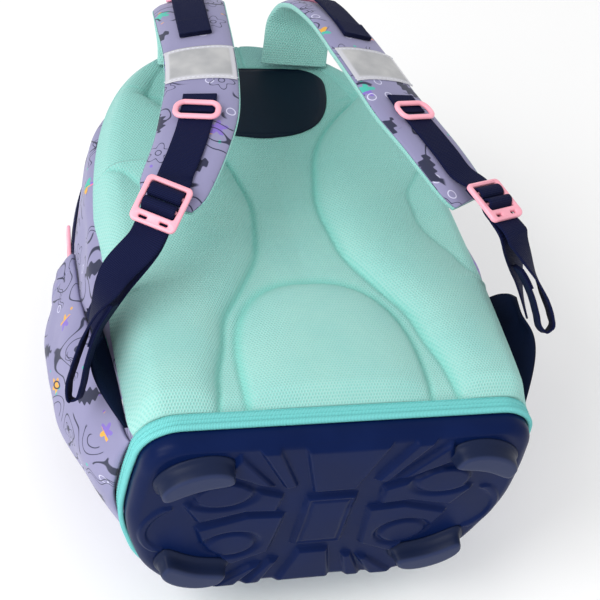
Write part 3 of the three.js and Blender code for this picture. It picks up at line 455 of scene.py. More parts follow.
def printed_cloth():
    """Lilac woven cloth with a loose print of flowers, leaves, waves and dots."""
    s = Shade("printed_cloth", 0.78, Sheen_Weight=0.15)
    place = s.cloth()
    inside, pick, tint = motif_cells(s, place, 38.0, 3.0)
    x, y, _ = s.split(inside)
    radius = s.vector("LENGTH", inside)
    petals = s.math("COSINE", s.math("ARCTAN2", y, x) * 5.0) * 0.055 + 0.2
    flower = thin_line(s, radius - petals, 0.011) | thin_line(s, radius - 0.06, 0.01)
    curl = y - s.sine(x * 17.0) * 0.07
    waves = thin_line(s, curl, 0.012) | thin_line(s, curl + 0.09, 0.011)
    waves = waves * s.math("LESS_THAN", abs(x), 0.36)
    span = 1.0 - s.math("POWER", abs(x * 3.1), 2.0)
    leaf_edge = span * 0.15 + s.sine(x * 44.0) * 0.035
    leaf = 1.0 - s.ramp(abs(y) - leaf_edge, -0.012, 0.012)
    contour = s.math("FRACT", s.noise(place, 44.0, 1.0) * 11.0)
    patches = s.ramp(s.noise(place + (400.0, 90.0, 0.0), 42.0, 0.0), 0.5, 0.53)
    ink = thin_line(s, contour - 0.5, 0.07) * patches
    for motif, low, high in ((flower, 0.0, 0.24), (waves, 0.24, 0.5), (leaf, 0.5, 0.72)):
        ink = ink | motif * is_kind(s, pick, low, high)
    bloom = (1.0 - s.ramp(radius - petals, -0.065, -0.04)) * is_kind(s, pick, 0.72, 1.0)

    small, small_pick, small_tint = motif_cells(s, place, 15.0, 11.0)
    small_radius = s.vector("LENGTH", small)
    dots = (1.0 - s.ramp(small_radius, 0.07, 0.1)) * is_kind(s, small_pick, 0.0, 0.13)
    rings = thin_line(s, small_radius - 0.2, 0.025) * is_kind(s, small_pick, 0.2, 0.27)
    accents = s.node("ValToRGB", s.math("FRACT", tint + small_tint))
    accents.color_ramp.interpolation = "CONSTANT"
    for k, (at, colour) in enumerate(ACCENTS):
        stop = accents.color_ramp.elements[k] if k < 2 else accents.color_ramp.elements.new(at)
        stop.position = at
        stop.color = (*colour, 1.0)

    ground = s.mix(s.ramp(s.noise(place, 60.0), 0.35, 0.7), LILAC, LILAC_DEEP)
    colour = s.mix(bloom | dots, s.mix(0.55, ground, LILAC), s.out(accents))
    colour = s.mix(ink, s.mix(rings, colour, (0.6, 0.6, 0.78)), NAVY_INK)
    s.bump(weave(s, place, 0.7) * 0.12 + s.noise(place, 9.0, 3.0), 0.5, 0.35)
    return s.done(colour)


def spacer_mesh():
    """Mint knitted mesh over foam: rows of small holes, with painted shade in the holes, in the sewn creases
    and towards the top of the back panel.
    """
    s = Shade("spacer_mesh", 0.78, Sheen_Weight=0.15, Specular_IOR_Level=0.3)
    place = s.cloth()
    pitch, row_share = 2.1, 1.732
    scaled = place * (1 / pitch, 1 / (pitch * row_share), 0.0)
    near = []
    for shift in ((0.0, 0.0, 0.0), CENTRE):
        cell = s.vector("FRACTION", scaled + shift) - CENTRE
        near.append(s.vector("LENGTH", cell * (1.0, row_share, 0.0)))
    hole = s.math("MINIMUM", *near)
    tone = s.mix(s.ramp(s.noise(place, 45.0), 0.3, 0.75), MINT, (0.31, 0.61, 0.57))
    # Painted shade: the mesh darkens along the cloth's y, towards the top of the back panel.
    tone = s.mix(s.ramp(s.split(place)[1], 90.0, 390.0), tone, (0.26, 0.54, 0.5))
    # Painted shade: the mesh is darkened inside its small holes.
    colour = s.mix((1.0 - s.ramp(hole, 0.16, 0.42)) * 0.42, tone, (0.14, 0.54, 0.48))
    # Painted shade: the mesh is darkened in its sewn creases.
    colour = s.mix(s.attribute("crease") * 0.5, colour, MINT_CREASE_SHADE)
    s.bump(hole * 1.6 + s.noise(place, 1.1) * 0.35, 0.75, 0.85)
    return s.done(colour)


def ribbed(name, colour, roughness=0.72, pitch=1.15, depth=0.35):
    """Woven webbing: fine ribs across its length, with a finer twill between them, and painted light and
    shade that make each rib's crest lighter and its groove darker.
    """
    s = Shade(name, roughness, Specular_IOR_Level=0.12)
    x, y, _ = s.split(s.cloth())
    rib = abs(s.sine(y * (math.pi / pitch)))
    twill = s.sine((x + y * 0.5) * (math.pi / 0.8))
    s.bump(rib + twill * 0.25, depth, 0.8)
    # Painted light and shade: each rib's crest is painted lighter and its groove darker.
    return s.done(s.mix(rib * 0.55, toned(colour, 0.55), toned(colour, 1.35)))


def plain_cloth(name, colour):
    s = Shade(name, 0.75, Specular_IOR_Level=0.1)
    place = s.cloth()
    s.bump(weave(s, place, 0.8) * 0.3 + s.noise(place, 7.0, 3.0), 0.5, 0.5)
    return s.done(s.mix(s.ramp(s.noise(place, 24.0), 0.3, 0.75), colour, toned(colour, 0.7)))


def moulded(name, colour, roughness, grain, depth, gloss=0.5):
    """Moulded plastic: an even skin with a fine spark-worn grain and slight wear in its gloss."""
    s = Shade(name, roughness, Specular_IOR_Level=gloss)
    place = s.solid()
    wide = s.noise(place, 38.0, 2.0)
    worn = s.node("MapRange", wide, 0.3, 0.7, roughness - 0.05, roughness + 0.06)
    s.feed(s.surface.inputs["Roughness"], s.out(worn))
    s.bump(s.noise(place, grain, 3.0), depth, 0.6)
    return s.done(s.mix(s.ramp(wide, 0.35, 0.7), colour, toned(colour, 1.15, 0.0004)))


def foot_plastic():
    """Plastic of the feet, with a painted highlight that makes their tips paler."""
    s = Shade("moulded_foot", 0.42, Specular_IOR_Level=0.12)
    place = s.solid()
    # Painted highlight: the feet's tip faces are painted paler, as if lit.
    tip = s.ramp(s.split(place)[1] * -1.0, REST_MIDDLE + 11.6, REST_MIDDLE + 13.6)
    s.bump(s.noise(place, 0.9, 3.0), 0.08, 0.6)
    return s.done(s.mix(tip, (0.007, 0.013, 0.042), (0.022, 0.032, 0.085)))


def thread(name, colour):
    s = Shade(name, 0.6, Sheen_Weight=0.3)
    place = s.solid()
    s.bump(s.noise(place, 0.5), 0.2, 0.6)
    return s.done(s.mix(s.noise(place, 3.0), colour, toned(colour, 0.8)))


def reflective():
    """Grey reflective tape under a clear film whose frosted rim shows white."""
    s = Shade("reflective_tape", 0.32, Coat_Weight=0.4, Coat_Roughness=0.25)
    place = s.cloth()
    rim = s.attribute("rim")
    x, y, _ = s.split(place)
    grey = s.mix(s.ramp(s.noise(place, 22.0), 0.3, 0.75), (0.32, 0.325, 0.34), (0.46, 0.46, 0.465))
    s.bump(s.sine(x * 3.4) * s.sine(y * 3.4) * (1.0 - rim), 0.12, 0.5)
    return s.done(s.mix(rim, grey, (0.52, 0.52, 0.57)))


FINISHES = {
    "print": (printed_cloth(), "lilac_cloth"),
    "mesh": (spacer_mesh(), "mint_mesh"),
    "webbing": (ribbed("webbing", (0.0035, 0.0065, 0.042)), "webbing"),
    "binding": (ribbed("binding_tape", BINDING, 0.65, 1.0, 0.22), "mint_binding"),
    "gusset": (plain_cloth("navy_cloth", (0.0015, 0.006, 0.026)), "navy_cloth"),
    "zip": (ribbed("zip_tape", (0.014, 0.017, 0.06), 0.7, 0.9, 0.2), "webbing"),
    "base": (moulded("moulded_base", (0.0018, 0.0085, 0.052), 0.36, 0.8, 0.06, 0.07), "moulded_base"),
    "foot": (foot_plastic(), "foot_plastic"),
    "pink": (moulded("pink_plastic", PINK, 0.34, 1.5, 0.05, 0.45), "pink_plastic"),
    "patch": (moulded("dark_patch", (0.0015, 0.0075, 0.019), 0.52, 0.9, 0.22, 0.15), "dark_patch"),
    "teeth": (moulded("zip_coil", (0.02, 0.024, 0.08), 0.35, 1.0, 0.05), "webbing"),
    "mint_thread": (thread("mint_thread", (0.13, 0.6, 0.58)), "mint_binding"),
    "navy_thread": (thread("navy_thread", (0.03, 0.04, 0.13)), "webbing"),
    "lilac_thread": (thread("lilac_thread", (0.3, 0.3, 0.5)), "lilac_cloth"),
    "white_thread": (thread("white_thread", (0.72, 0.74, 0.8)), "reflective"),
    "reflective": (reflective(), "reflective"),
}


# Rows of stitches and teeth

BAR_ENDS = ((-1.0, 0.45), (-0.7, 1.0), (0.7, 1.0), (1.0, 0.45))
BAR_SIDES = 6


def dashes(name, line, normal, pitch, size, finish):
    """Small rounded bars along a line, one each pitch: stitches or zip teeth.

    size is (along the line, across it, height); normal is the line's outward direction."""
    line = np.asarray(line, float)
    count = max(2, int(lengths(line)[-1] / pitch))
    places = resample(line, count)
    normals = unit(resample(np.broadcast_to(normal, line.shape), count))
    along = tangents(places)
    across = unit(np.cross(along, normals))
    n = BAR_SIDES
    template = [(a, math.cos(t) * w, math.sin(t) * w) for a, w in BAR_ENDS for t in circle(n)]
    reach = np.array(size) / 2
    points = [places + along * (a * reach[0]) + across * (c * reach[1]) + normals * (h * reach[2])
              for a, c, h in template]
    bar = [(i, (i + 1) % n, n + (i + 1) % n, n + i) for i in range(n)]
    bar = [[n * ring + v for v in face] for ring in range(len(BAR_ENDS) - 1) for face in bar]
    bar += [range(n - 1, -1, -1), range(3 * n, 4 * n)]
    faces = [[v + k * len(template) for v in face] for k in range(count) for face in bar]
    return mesh_object(name, np.stack(points, axis=1).reshape(-1, 3), faces, finish)


# Body of the bag

BODY_LEVELS = rows(
    "depth width top foot",
    (0, 0.83, 0.98, 0.004),
    (0.03, 0.9, 0.99, 0),
    (0.08, 0.95, 1, 0),
    (0.18, 0.973, 1.005, 0),
    (0.34, 0.985, 0.994, 0),
    (0.49, 0.98, 0.965, 0),
    (0.6, 0.952, 0.94, 0),
    (0.7, 0.91, 0.915, 0),
    (0.8, 0.86, 0.885, 0.002),
    (0.88, 0.79, 0.845, 0.006),
    (0.95, 0.69, 0.795, 0.018),
    (1, 0.52, 0.71, 0.05),
)

BELLY = 7.0


def level(depth, name):
    return read(BODY_LEVELS, name, depth)


def arch_outline(turns, width, top, foot, middle, arch, corner):
    """Outline with a round arch over its middle height and squarer corners under it."""
    c, s = np.cos(turns * 2 * math.pi), np.sin(turns * 2 * math.pi)
    power = np.where(s >= 0, 2 / arch, 2 / corner)
    reach = np.where(s >= 0, top - middle, middle - foot)
    return width * signed_power(c, power), middle + reach * signed_power(s, power)


def body_outline(turns, width=HALF, top=HEIGHT, foot=BODY_FOOT):
    return arch_outline(turns, width, top, foot, BODY_MIDDLE, ARCH_POWER, CORNER_POWER)


def arch_height(x, depth, proud=0.0):
    """Height of the body's arch over a place x at one depth."""
    share = x / (HALF * level(depth, "width"))
    reach = HEIGHT * level(depth, "top") + proud - BODY_MIDDLE
    return BODY_MIDDLE + reach * (1 - share**ARCH_POWER) ** (1 / ARCH_POWER)


def even_turns(count, low=0.0, high=1.0):
    """Turns that lie evenly along the body's outline, and their places along it."""
    dense = np.linspace(low, high, 4001)
    along = lengths(stack(*body_outline(dense)))
    at = np.linspace(0, along[-1], count)
    return np.interp(at, along, dense), at


def crumple(a, b, seed):
    """Soft folds of slack cloth over places a and b, from -1 to 1."""
    rng = np.random.default_rng(seed)
    total = np.zeros_like(a)
    for _ in range(7):
        angle, size, phase = rng.uniform(0, math.pi), rng.uniform(38, 95), rng.uniform(0, 6.28)
        warp = 0.9 * np.sin((a * math.sin(angle) - b * math.cos(angle)) / 47 + phase)
        wave = np.sin((a * math.cos(angle) + b * math.sin(angle)) * 2 * math.pi / size + phase + warp)
        total += wave * np.abs(wave) ** 0.3
    return total / 4.5


def belly(y):
    """How far the filled body swells sideways between its base and its arch."""
    return BELLY * step_between(60, 180, y) * step_between(392, 300, y)


def side_swell(y, depth):
    """The belly's swell, which fades towards the back and the front."""
    return belly(y) * step_between(0, 0.12, depth) * step_between(1, 0.6, depth)


def body_wall(name, depths, node, seed, front_rows=0):
    """Cloth wall of one half of the body, with its slack folds."""
    turns, u = even_turns(401)
    turns = turns[:-1]
    rings = []
    for depth in depths:
        width = HALF * level(depth, "width")
        foot = BODY_FOOT + HEIGHT * level(depth, "foot")
        x, y = body_outline(turns, width, HEIGHT * level(depth, "top"), foot)
        room = math.sin(math.pi * np.clip((depth - depths[0]) / (depths[-1] - depths[0]), 0, 1)) ** 0.5
        push = (0.9 + 1.3 * step_between(60, 130, y)) * room
        push = push * crumple(u[:-1], np.full_like(turns, depth * DEPTH), seed)
        flat = stack(x, y) + unit(stack(x, (y - BODY_MIDDLE) * 0.7)) * push[:, None]
        rings.append(stack(flat[:, 0] + side_swell(y, depth) * x / width, flat[:, 1], BACK_Z - depth * DEPTH))
    last = rings[-1]
    middle = np.array([0, 0.46 * HEIGHT, last[:, 2].mean()])
    steps = np.arange(1, front_rows + 1)
    rings += [middle + (last - middle) * (1 - k / (front_rows + 1)) for k in steps]
    v = np.concatenate([depths * DEPTH, depths[-1] * DEPTH + 9 * steps])
    wall = loft(name, rings, "print", cloth=(u, v))
    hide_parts(node)


def body_walls():
    """Back and front halves, which meet at the zip."""
    half_gap = SEAT / DEPTH
    body_wall("back_cloth", np.linspace(0, ZIP_DEPTH - half_gap, 60), "back_shell", 4)
    depths = np.concatenate([np.linspace(ZIP_DEPTH + half_gap, 0.9, 60), np.linspace(0.905, 1, 24)])
    body_wall("front_cloth", depths, "front_shell", 9, front_rows=6)


ZIP_SECTION = rows(
    "place lift",
    (-6.5, 0.2), (-6.3, 1.2), (-2.4, 1.3), (-1.6, 1.1), (1.6, 1.1), (2.4, 1.3), (6.3, 1.2), (6.5, 0.2),
)
ZIP_ROWS = rows(
    "name place proud pitch size finish",
    ("zip_coil_upper", -0.75, 2.3, 1.5, (1.05, 2.6, 1.5), "teeth"),
    ("zip_coil_lower", 0.75, 2.3, 1.5, (1.05, 2.6, 1.5), "teeth"),
    ("zip_stitch_upper", -4.6, 2, 3.4, (2.4, 0.6, 0.5), "navy_thread"),
    ("zip_stitch_lower", 4.6, 2, 3.4, (2.4, 0.6, 0.5), "navy_thread"),
)
TAPE_SEAT = 0.6


def zip_line(turns, place, proud, spread=None):
    """Line round the body at a place across the zip, so far proud of the cloth."""
    depth = ZIP_DEPTH + place / DEPTH
    width = HALF * level(depth, "width") + proud
    x, y = body_outline(turns % 1, width, HEIGHT * level(depth, "top") + proud, BODY_FOOT - proud)
    return stack(x + belly(y) * x / (spread or width), y, BACK_Z - depth * DEPTH)


def main_zip():
    """Zip round the body: tape, coil and stitched edges."""
    turns, along = even_turns(360, ZIP_END, 0.5 - ZIP_END)
    outer = [zip_line(turns, row["place"], row["lift"] + TAPE_SEAT) for row in ZIP_SECTION]
    inner = [zip_line(turns, row["place"], TAPE_SEAT) for row in ZIP_SECTION]
    tape = sheet("zip_tape", np.array(outer), np.array(inner), "zip", (along, column(ZIP_SECTION, "place")))
    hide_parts("main_zip")
    for row in ZIP_ROWS:
        line = zip_line(turns, row["place"], row["proud"], HALF)
        normal = unit((line - [0, BODY_MIDDLE, 0]) * [1, 0.7, 0])
        dashes(row["name"], line, normal, row["pitch"], row["size"], row["finish"])


# Flat moulded fittings from outlines

def rounded_box(width, length, radius, middle=(0.0, 0.0), steps=6):
    outline = []
    for sx, sy, start in ((1, 1, 0), (-1, 1, 1), (-1, -1, 2), (1, -1, 3)):
        for k in range(steps + 1):
            angle = (start + k / steps) * math.pi / 2
            x = middle[0] + sx * (width / 2 - radius) + radius * math.cos(angle)
            outline.append((x, middle[1] + sy * (length / 2 - radius) + radius * math.sin(angle)))
    return outline


def moulded_plate(name, outlines, thick, edge, basis, middle, bend=None):
    """A plate with holes and rounded edges; bend raises its face over its own x and y."""
    curve = bpy.data.curves.new(name, "CURVE")
    curve.dimensions, curve.fill_mode = "2D", "BOTH"
    curve.extrude = thick / 2 - edge
    curve.bevel_depth, curve.bevel_resolution = edge, 3
    curve.offset = -edge
    for outline in outlines:
        line = curve.splines.new("POLY")
        line.points.add(len(outline) - 1)
        for point, (x, y) in zip(line.points, outline):
            point.co = (x, y, 0, 1)
        line.use_cyclic_u = True
    holder = bpy.data.objects.new(name + "_line", curve)
    bpy.context.scene.collection.objects.link(holder)
    bpy.context.view_layer.update()
    shape = holder.evaluated_get(bpy.context.evaluated_depsgraph_get()).to_mesh()
    points = np.array([v.co for v in shape.vertices])
    faces = [list(p.vertices) for p in shape.polygons]
    bpy.data.objects.remove(holder)
    if bend is not None:
        points[:, 2] += bend(points[:, 0], points[:, 1])
    obj = mesh_object(name, points @ np.array(basis) + middle, faces, "pink")
    obj.modifiers.new("weld", "WELD").merge_threshold = 0.02 * MM
    return obj


def zip_pulls():
    outlines = [rounded_box(9, 34, 3.4), rounded_box(4, 10, 1.6, (0, 9))]
    outlines += [rounded_box(5, 1.6, 0.7, (0, y)) for y in (-6, -10)]
    for name, side in (("main_pull_left", -1), ("main_pull_right", 1)):
        middle = np.mean(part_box(name), axis=0) / MM + [0, REST_MIDDLE, 0]
        middle[0] += side * belly(middle[1])
        normal = unit([side * 0.995, 0.1, 0])
        along = unit(np.cross([0, 0, 1.0], normal))
        basis = [np.cross(along, normal), along, normal]
        pull = moulded_plate(name + "_tab", outlines, 2.4, 0.8, basis, middle)
        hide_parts(name)


# Front pocket

POCKET_LEVELS = rows(
    "height width top foot",
    (0, 0.74, 0.86, 0.12),
    (0.04, 0.8, 0.89, 0.095),
    (0.25, 0.92, 0.96, 0.035),
    (0.6, 0.985, 0.99, 0.008),
    (1, 1, 1, 0),
)
POCKET_WIDTH, POCKET_HEIGHT, POCKET_FOOT = 224.0, 226.0, 38.0
POCKET_ZIP = 0.74
POCKET_ZIP_SECTION = rows(
    "place lift",
    (-6.5, 0.2), (-6.3, 1.1), (-2.2, 1.2), (-1.4, 1.0), (1.4, 1.0), (2.2, 1.2), (6.3, 1.1), (6.5, 0.2),
)


def pocket_middle(share):
    return POCKET_FOOT + share * POCKET_HEIGHT


def pocket_ring(height, proud, turns):
    width, top, foot = (read(POCKET_LEVELS, name, height) for name in ("width", "top", "foot"))
    x, y = arch_outline(
        turns, POCKET_WIDTH / 2 * width + proud, pocket_middle(top) + proud, pocket_middle(foot) - proud,
        pocket_middle(0.4), 2.6, 4,
    )
    return stack(x, y, height * (FRONT_Z - SEAT))


def front_pocket():
    turns = np.arange(200) / 200
    heights = np.concatenate([[0.0], np.linspace(0.012, 0.2, 14), np.linspace(0.23, 1, 30)])
    rings = []
    for height in heights:
        ring = pocket_ring(height, 0, turns)
        room = math.sin(math.pi * min(1, height * 1.05)) if height < 0.95 else 0
        push = 1.4 * room * crumple(turns * 700, np.full_like(turns, height * 90), 21)
        ring[:, :2] += unit(ring[:, :2] - [0, pocket_middle(0.45)]) * push[:, None]
        rings.append(ring)
    middle = np.array([0, pocket_middle(0.5), 0])
    inner = [middle + (rings[0] - middle) * share for share in (0.3, 0.6, 0.8, 0.93)]
    cloth = (np.linspace(0, 720, 201), np.concatenate([[-70, -40, -20, -7], heights * 60]))
    pocket = loft("front_pocket_cloth", inner + rings, "print", cloth=cloth)
    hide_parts("front_pocket")
    half_turn = np.linspace(0, 0.5, 160)
    outer, inside = [], []
    for row in POCKET_ZIP_SECTION:
        height = POCKET_ZIP + row["place"] / FRONT_Z
        outer.append(pocket_ring(height, 0.8 + row["lift"], half_turn))
        inside.append(pocket_ring(height, 0.8, half_turn))
    places = column(POCKET_ZIP_SECTION, "place")
    tape = sheet("front_pocket_tape", np.array(outer), np.array(inside), "zip", (lengths(outer[3]), places))
    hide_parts("front_pocket_zip")
    line = pocket_ring(POCKET_ZIP, 2.6, half_turn)
    normal = unit(line - [0, pocket_middle(0.45), line[0, 2]])
    dashes("front_pocket_coil", line, normal, 1.5, (1.0, 4.4, 1.5), "teeth")


# Side pockets

SIDE_ROWS = rows(
    "up bulge fold",
    (0, 0.1, 0),
    (0.12, 0.6, 0.02),
    (0.3, 0.98, 0.06),
    (0.48, 1, 0.1),
    (0.65, 0.9, 0.06),
    (0.82, 0.78, 0.12),
    (0.94, 0.62, 0.05),
    (1, 0.6, 0),
)
SIDE_FOOT, SIDE_HEIGHT, SIDE_BULGE, MOUTH_DIP = 11.0, 196.0, 25.0, 14.0
SIDE_BACK, SIDE_SLANT, SIDE_FRONT = 0.145, 0.18, 0.865
HEM_START, HEM_ROW = 0.925, 137


def side_wall(depth, y, proud=0.0):
    """Half width of the body at a depth and height."""
    width = HALF * level(depth, "width") + proud
    top = HEIGHT * level(depth, "top") + proud
    foot = BODY_FOOT + HEIGHT * level(depth, "foot") - proud
    power = np.where(y >= BODY_MIDDLE, ARCH_POWER, CORNER_POWER)
    reach = np.where(y >= BODY_MIDDLE, top - BODY_MIDDLE, BODY_MIDDLE - foot)
    share = np.minimum(1, np.abs(y - BODY_MIDDLE) / reach)
    return (width + side_swell(y, depth)) * (1 - share**power) ** (1 / power)


def side_pocket(side, name):
    u, v = np.meshgrid(np.linspace(0, 1, 100), np.linspace(0, 1, 150))
    hump = np.sin(math.pi * u)
    y = SIDE_FOOT + BODY_FOOT + v * SIDE_HEIGHT - MOUTH_DIP * hump * v**4
    back = SIDE_BACK + SIDE_SLANT * v
    depth = back + u * (SIDE_FRONT - back)
    ripple = read(SIDE_ROWS, "fold", v) * np.sin(3 * math.pi * u + 4 * v) * hump
    bulge = SIDE_BULGE * read(SIDE_ROWS, "bulge", v) * np.maximum(0, hump**0.7 + ripple)
    slack = 3 * crumple(v * SIDE_HEIGHT + side * 40, u * 115, 31 + side) * hump**0.6
    gather = 0.9 * np.sin(u * 46 + 2 * np.sin(9 * u)) * np.exp(-((1 - v) / 0.07) ** 2) * hump
    proud = np.maximum(3 * SEAT + bulge + (slack + gather) * (v > 0), 3 * SEAT)
    inside = side_wall(depth, y) + proud
    hem = 0.8 * step_between(HEM_START, HEM_START + 0.005, v)
    z = BACK_Z - depth * DEPTH
    outer = stack(side * (inside + CLOTH + hem), y, z)
    inner = stack(side * inside, y, z - CLOTH * (0.5 - u))
    cloth = (np.linspace(0, 130, 100) + 300 * side, np.linspace(0, SIDE_HEIGHT, 150))
    pocket = sheet(name + "_cloth", outer, inner, "print", cloth)
    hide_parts(name)
    line = outer[HEM_ROW, 2:-2]
    dashes(name + "_hem_stitch", line, np.array([side, 0.0, 0.0]), 3.4, (2.4, 0.6, 0.6), "lilac_thread")


# Base

BASE_MIDDLE = np.array([0.0, BACK_Z - DEPTH / 2])
BASE_ROUNDING = 9.0


def base_outline(count):
    """Rounded outline of the base as x and z, evenly spaced, with its outward directions."""
    depths = np.linspace(0, 1, 200)
    z = BASE_MIDDLE[1] + (0.5 - depths) * DEPTH * BASE_REACH
    right = stack(HALF * BASE_SHRINK * level(depths, "width"), z)
    ring = resample(np.vstack([right, (right * [-1, 1])[::-1]]), 1200, closed=True)
    window = 33
    kernel = np.hanning(window) / np.hanning(window).sum()
    padded = np.vstack([ring[-window:], ring, ring[:window]])
    soft = stack(*(np.convolve(values, kernel, "same") for values in padded.T))[window:-window]
    soft = resample(soft, count, closed=True)
    out = beside(soft)
    return soft, -out if np.sum((soft - soft.mean(axis=0)) * out) < 0 else out


def at_height(flat, y):
    """A line of x and z as points at a height over the face of the base."""
    return stack(flat[:, 0], y, flat[:, 1])


def polygon_reach(x, z, outline):
    """Distance to a closed outline, negative inside it."""
    p = np.stack([x, z], axis=-1)
    near = np.full(x.shape, 1e9)
    inside = np.zeros(x.shape, bool)
    for a, b in zip(outline, outline[1:] + outline[:1]):
        a, b = np.array(a, float), np.array(b, float)
        edge = b - a
        t = np.clip(((p - a) @ edge) / (edge @ edge), 0, 1)
        near = np.minimum(near, np.linalg.norm(p - a - t[..., None] * edge, axis=-1))
        crosses = (a[1] > z) != (b[1] > z)
        with np.errstate(divide="ignore", invalid="ignore"):
            inside ^= crosses & (x < (b[0] - a[0]) * (z - a[1]) / (b[1] - a[1]) + a[0])
    return np.where(inside, -near, near)

# Raised plates of the base's right half, in mm from its middle, each mirrored on the left half
BASE_PLATES = [
    [(36, 30), (54, 37), (76, 50), (104, 24), (92, 4), (60, 14), (38, 12)],  # rear plate
    [(31, 6), (58, 8), (92, -4), (84, -26), (60, -52), (34, -38)],  # front plate
    [(28, 40), (48, 82), (62, 82), (36, 38)],  # inner rear rib
    [(44, 40), (74, 78), (82, 60), (60, 46)],  # outer rear rib
    [(24, -52), (34, -84), (46, -84), (31, -52)],  # inner front rib
    [(36, -56), (52, -82), (70, -82), (44, -58)],  # outer front rib
]
BASE_CENTRES = [
    [(-30, 81), (30, 81), (15, 32), (-15, 32)],
    [(-18, 25), (18, 25), (18, -33), (-18, -33)],
    [(-11, -42), (11, -42), (21, -84), (-21, -84)],
]
BASE_ELLIPSES = rows("x z width length", (80, 36, 21, 14), (64, -26, 17, 13))
BASE_FRAME = [(-14, 21), (14, 21), (14, -29), (-14, -29)]
BASE_CRESCENT = {"x": 100.0, "z": -4.0, "radius": 29.0, "width": 9.0, "from": 112.0, "reach": 26.0}
PLATE_RISE = 4.2


def base_relief(x, z):
    """Height of the base's plates, ribs and ovals over its grooves."""
    side = np.abs(x)
    height = np.zeros_like(x)
    for across, outlines in ((side, BASE_PLATES), (x, BASE_CENTRES)):
        for outline in outlines:
            plate = step_between(2.0, -2.0, polygon_reach(across, z, outline))
            height = np.maximum(height, PLATE_RISE * plate)
    height -= 0.8 * groove(polygon_reach(x, z, BASE_FRAME), 1.2)
    for row in BASE_ELLIPSES:
        q = np.sqrt(((side - row["x"]) / row["width"]) ** 2 + ((z - row["z"]) / row["length"]) ** 2)
        height = np.maximum(height, 0.6) - 2.2 * groove((q - 1.12) * row["length"], 1.8) * (height > 0.2)
        height = np.maximum(height, PLATE_RISE * step_between(1.02, 0.8, q))
    c = BASE_CRESCENT
    ring = np.abs(np.hypot(side - c["x"], z - c["z"]) - c["radius"])
    wanted = (side > c["from"]) & (np.abs(z - c["z"]) < c["reach"])
    return np.maximum(height, wanted * 2.2 * step_between(c["width"] / 2, c["width"] / 2 - 3, ring))


def base():
    soft, out = base_outline(560)
    rings = []
    for share in np.concatenate([np.linspace(0.02, 0.9, 100), np.linspace(0.905, 1, 30)]):
        flat = BASE_MIDDLE + (soft - BASE_MIDDLE) * share
        x, z = flat[:, 0], flat[:, 1] - BASE_MIDDLE[1]
        edge = np.linalg.norm(soft - flat, axis=1)
        bend = 1 - np.minimum(edge / BASE_ROUNDING, 1)
        drop = BASE_ROUNDING * (1 - np.sqrt(np.clip(1 - bend**2, 0, 1)))
        on_face = step_between(0.0, 10.0, edge)
        front = step_between(-0.35, -0.5, z / DEPTH) * (1 - on_face)
        push = 0.4 * base_relief(x * 0.98, z * 0.96 + 2) * front - SEAT
        rings.append(at_height(flat + out * push[:, None], drop - base_relief(x, z) * on_face))
    for y, inset in ((9.5, SEAT), (12, SEAT), (BASE_DEPTH, SEAT), (BASE_DEPTH, 5.0), (6.0, 6.0)):
        rings.append(at_height(soft - out * inset, y))
    tray = loft("base_tray", rings, "base")
    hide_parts("base")


FOOT_PLACES = rows(
    "name x z turn",
    ("foot_rear_left", -0.71, 0.38, 0.35),
    ("foot_rear_right", 0.71, 0.38, -0.35),
    ("foot_front_left", -0.62, -0.32, -0.38 + math.pi),
    ("foot_front_right", 0.62, -0.32, 0.38 + math.pi),
)
FOOT_SECTION = rows(
    "y grow",
    (-0.6, 4.2), (-1.6, 4.0), (-2.6, 3.0), (-3.3, 2.0), (-4.5, 1.3), (-8, 0.6), (-11.4, 0.1),
    (-12.6, -0.4), (-13.4, -1.2), (-13.9, -2.4), (-14, -3.6),
)
FOOT_HALF_LENGTH, FOOT_HALF_WIDTH, FOOT_BOW, FOOT_ROUND = 24.5, 9.0, 8.0, 0.6


def foot(row):
    """Kidney-shaped foot with a collar at its root and a worn, rounded tip."""
    turns = circle(72)
    c, s = math.cos(row["turn"]), math.sin(row["turn"])
    rings = []
    for step in FOOT_SECTION:
        x = (FOOT_HALF_LENGTH + step["grow"]) * signed_power(np.cos(turns), FOOT_ROUND)
        z = (FOOT_HALF_WIDTH + step["grow"]) * signed_power(np.sin(turns), FOOT_ROUND)
        z = z - FOOT_BOW * (x / 27) ** 2
        flat = stack(x * c - z * s, x * s + z * c) + [row["x"] * HALF, BASE_MIDDLE[1] + row["z"] * DEPTH]
        rings.append(at_height(flat, step["y"]))
    piece = loft(row["name"] + "_block", rings, "foot")
    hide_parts(row["name"])


BINDING_SECTION = rows(
    "up out",
    (0.2, 0.4), (0.0, 1.6), (0.5, 3.1), (1.7, 4.0), (3.2, 3.8), (4.2, 2.9), (4.7, 2.2), (5.3, 2.9),
    (6.6, 3.3), (9.2, 3.5), (11.6, 3.2), (12.7, 2.3), (12.9, 1.0), (12.6, 0.3), (6.0, 0.3),
)


def binding():
    """Binding round the base seam: a stitched tape and a piping roll beside it."""
    soft, out = base_outline(480)
    low = BASE_DEPTH - BINDING_OVERLAP
    lines = [at_height(soft + out * row["out"], low + row["up"]) for row in BINDING_SECTION]
    tape = loft("binding_tape", np.array(lines).transpose(1, 0, 2), "binding", closed=True)
    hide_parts("base_binding")
    for name, up, proud in (("low", 7.2, 3.6), ("high", 11.2, 3.5)):
        line, normal = at_height(soft + out * proud, low + up), at_height(out, 0.0)
        line, normal = (np.vstack([v, v[:1]]) for v in (line, normal))
        dashes("binding_stitch_" + name, line, normal, 3.1, (2.2, 0.55, 0.5), "mint_thread")


# Back panel

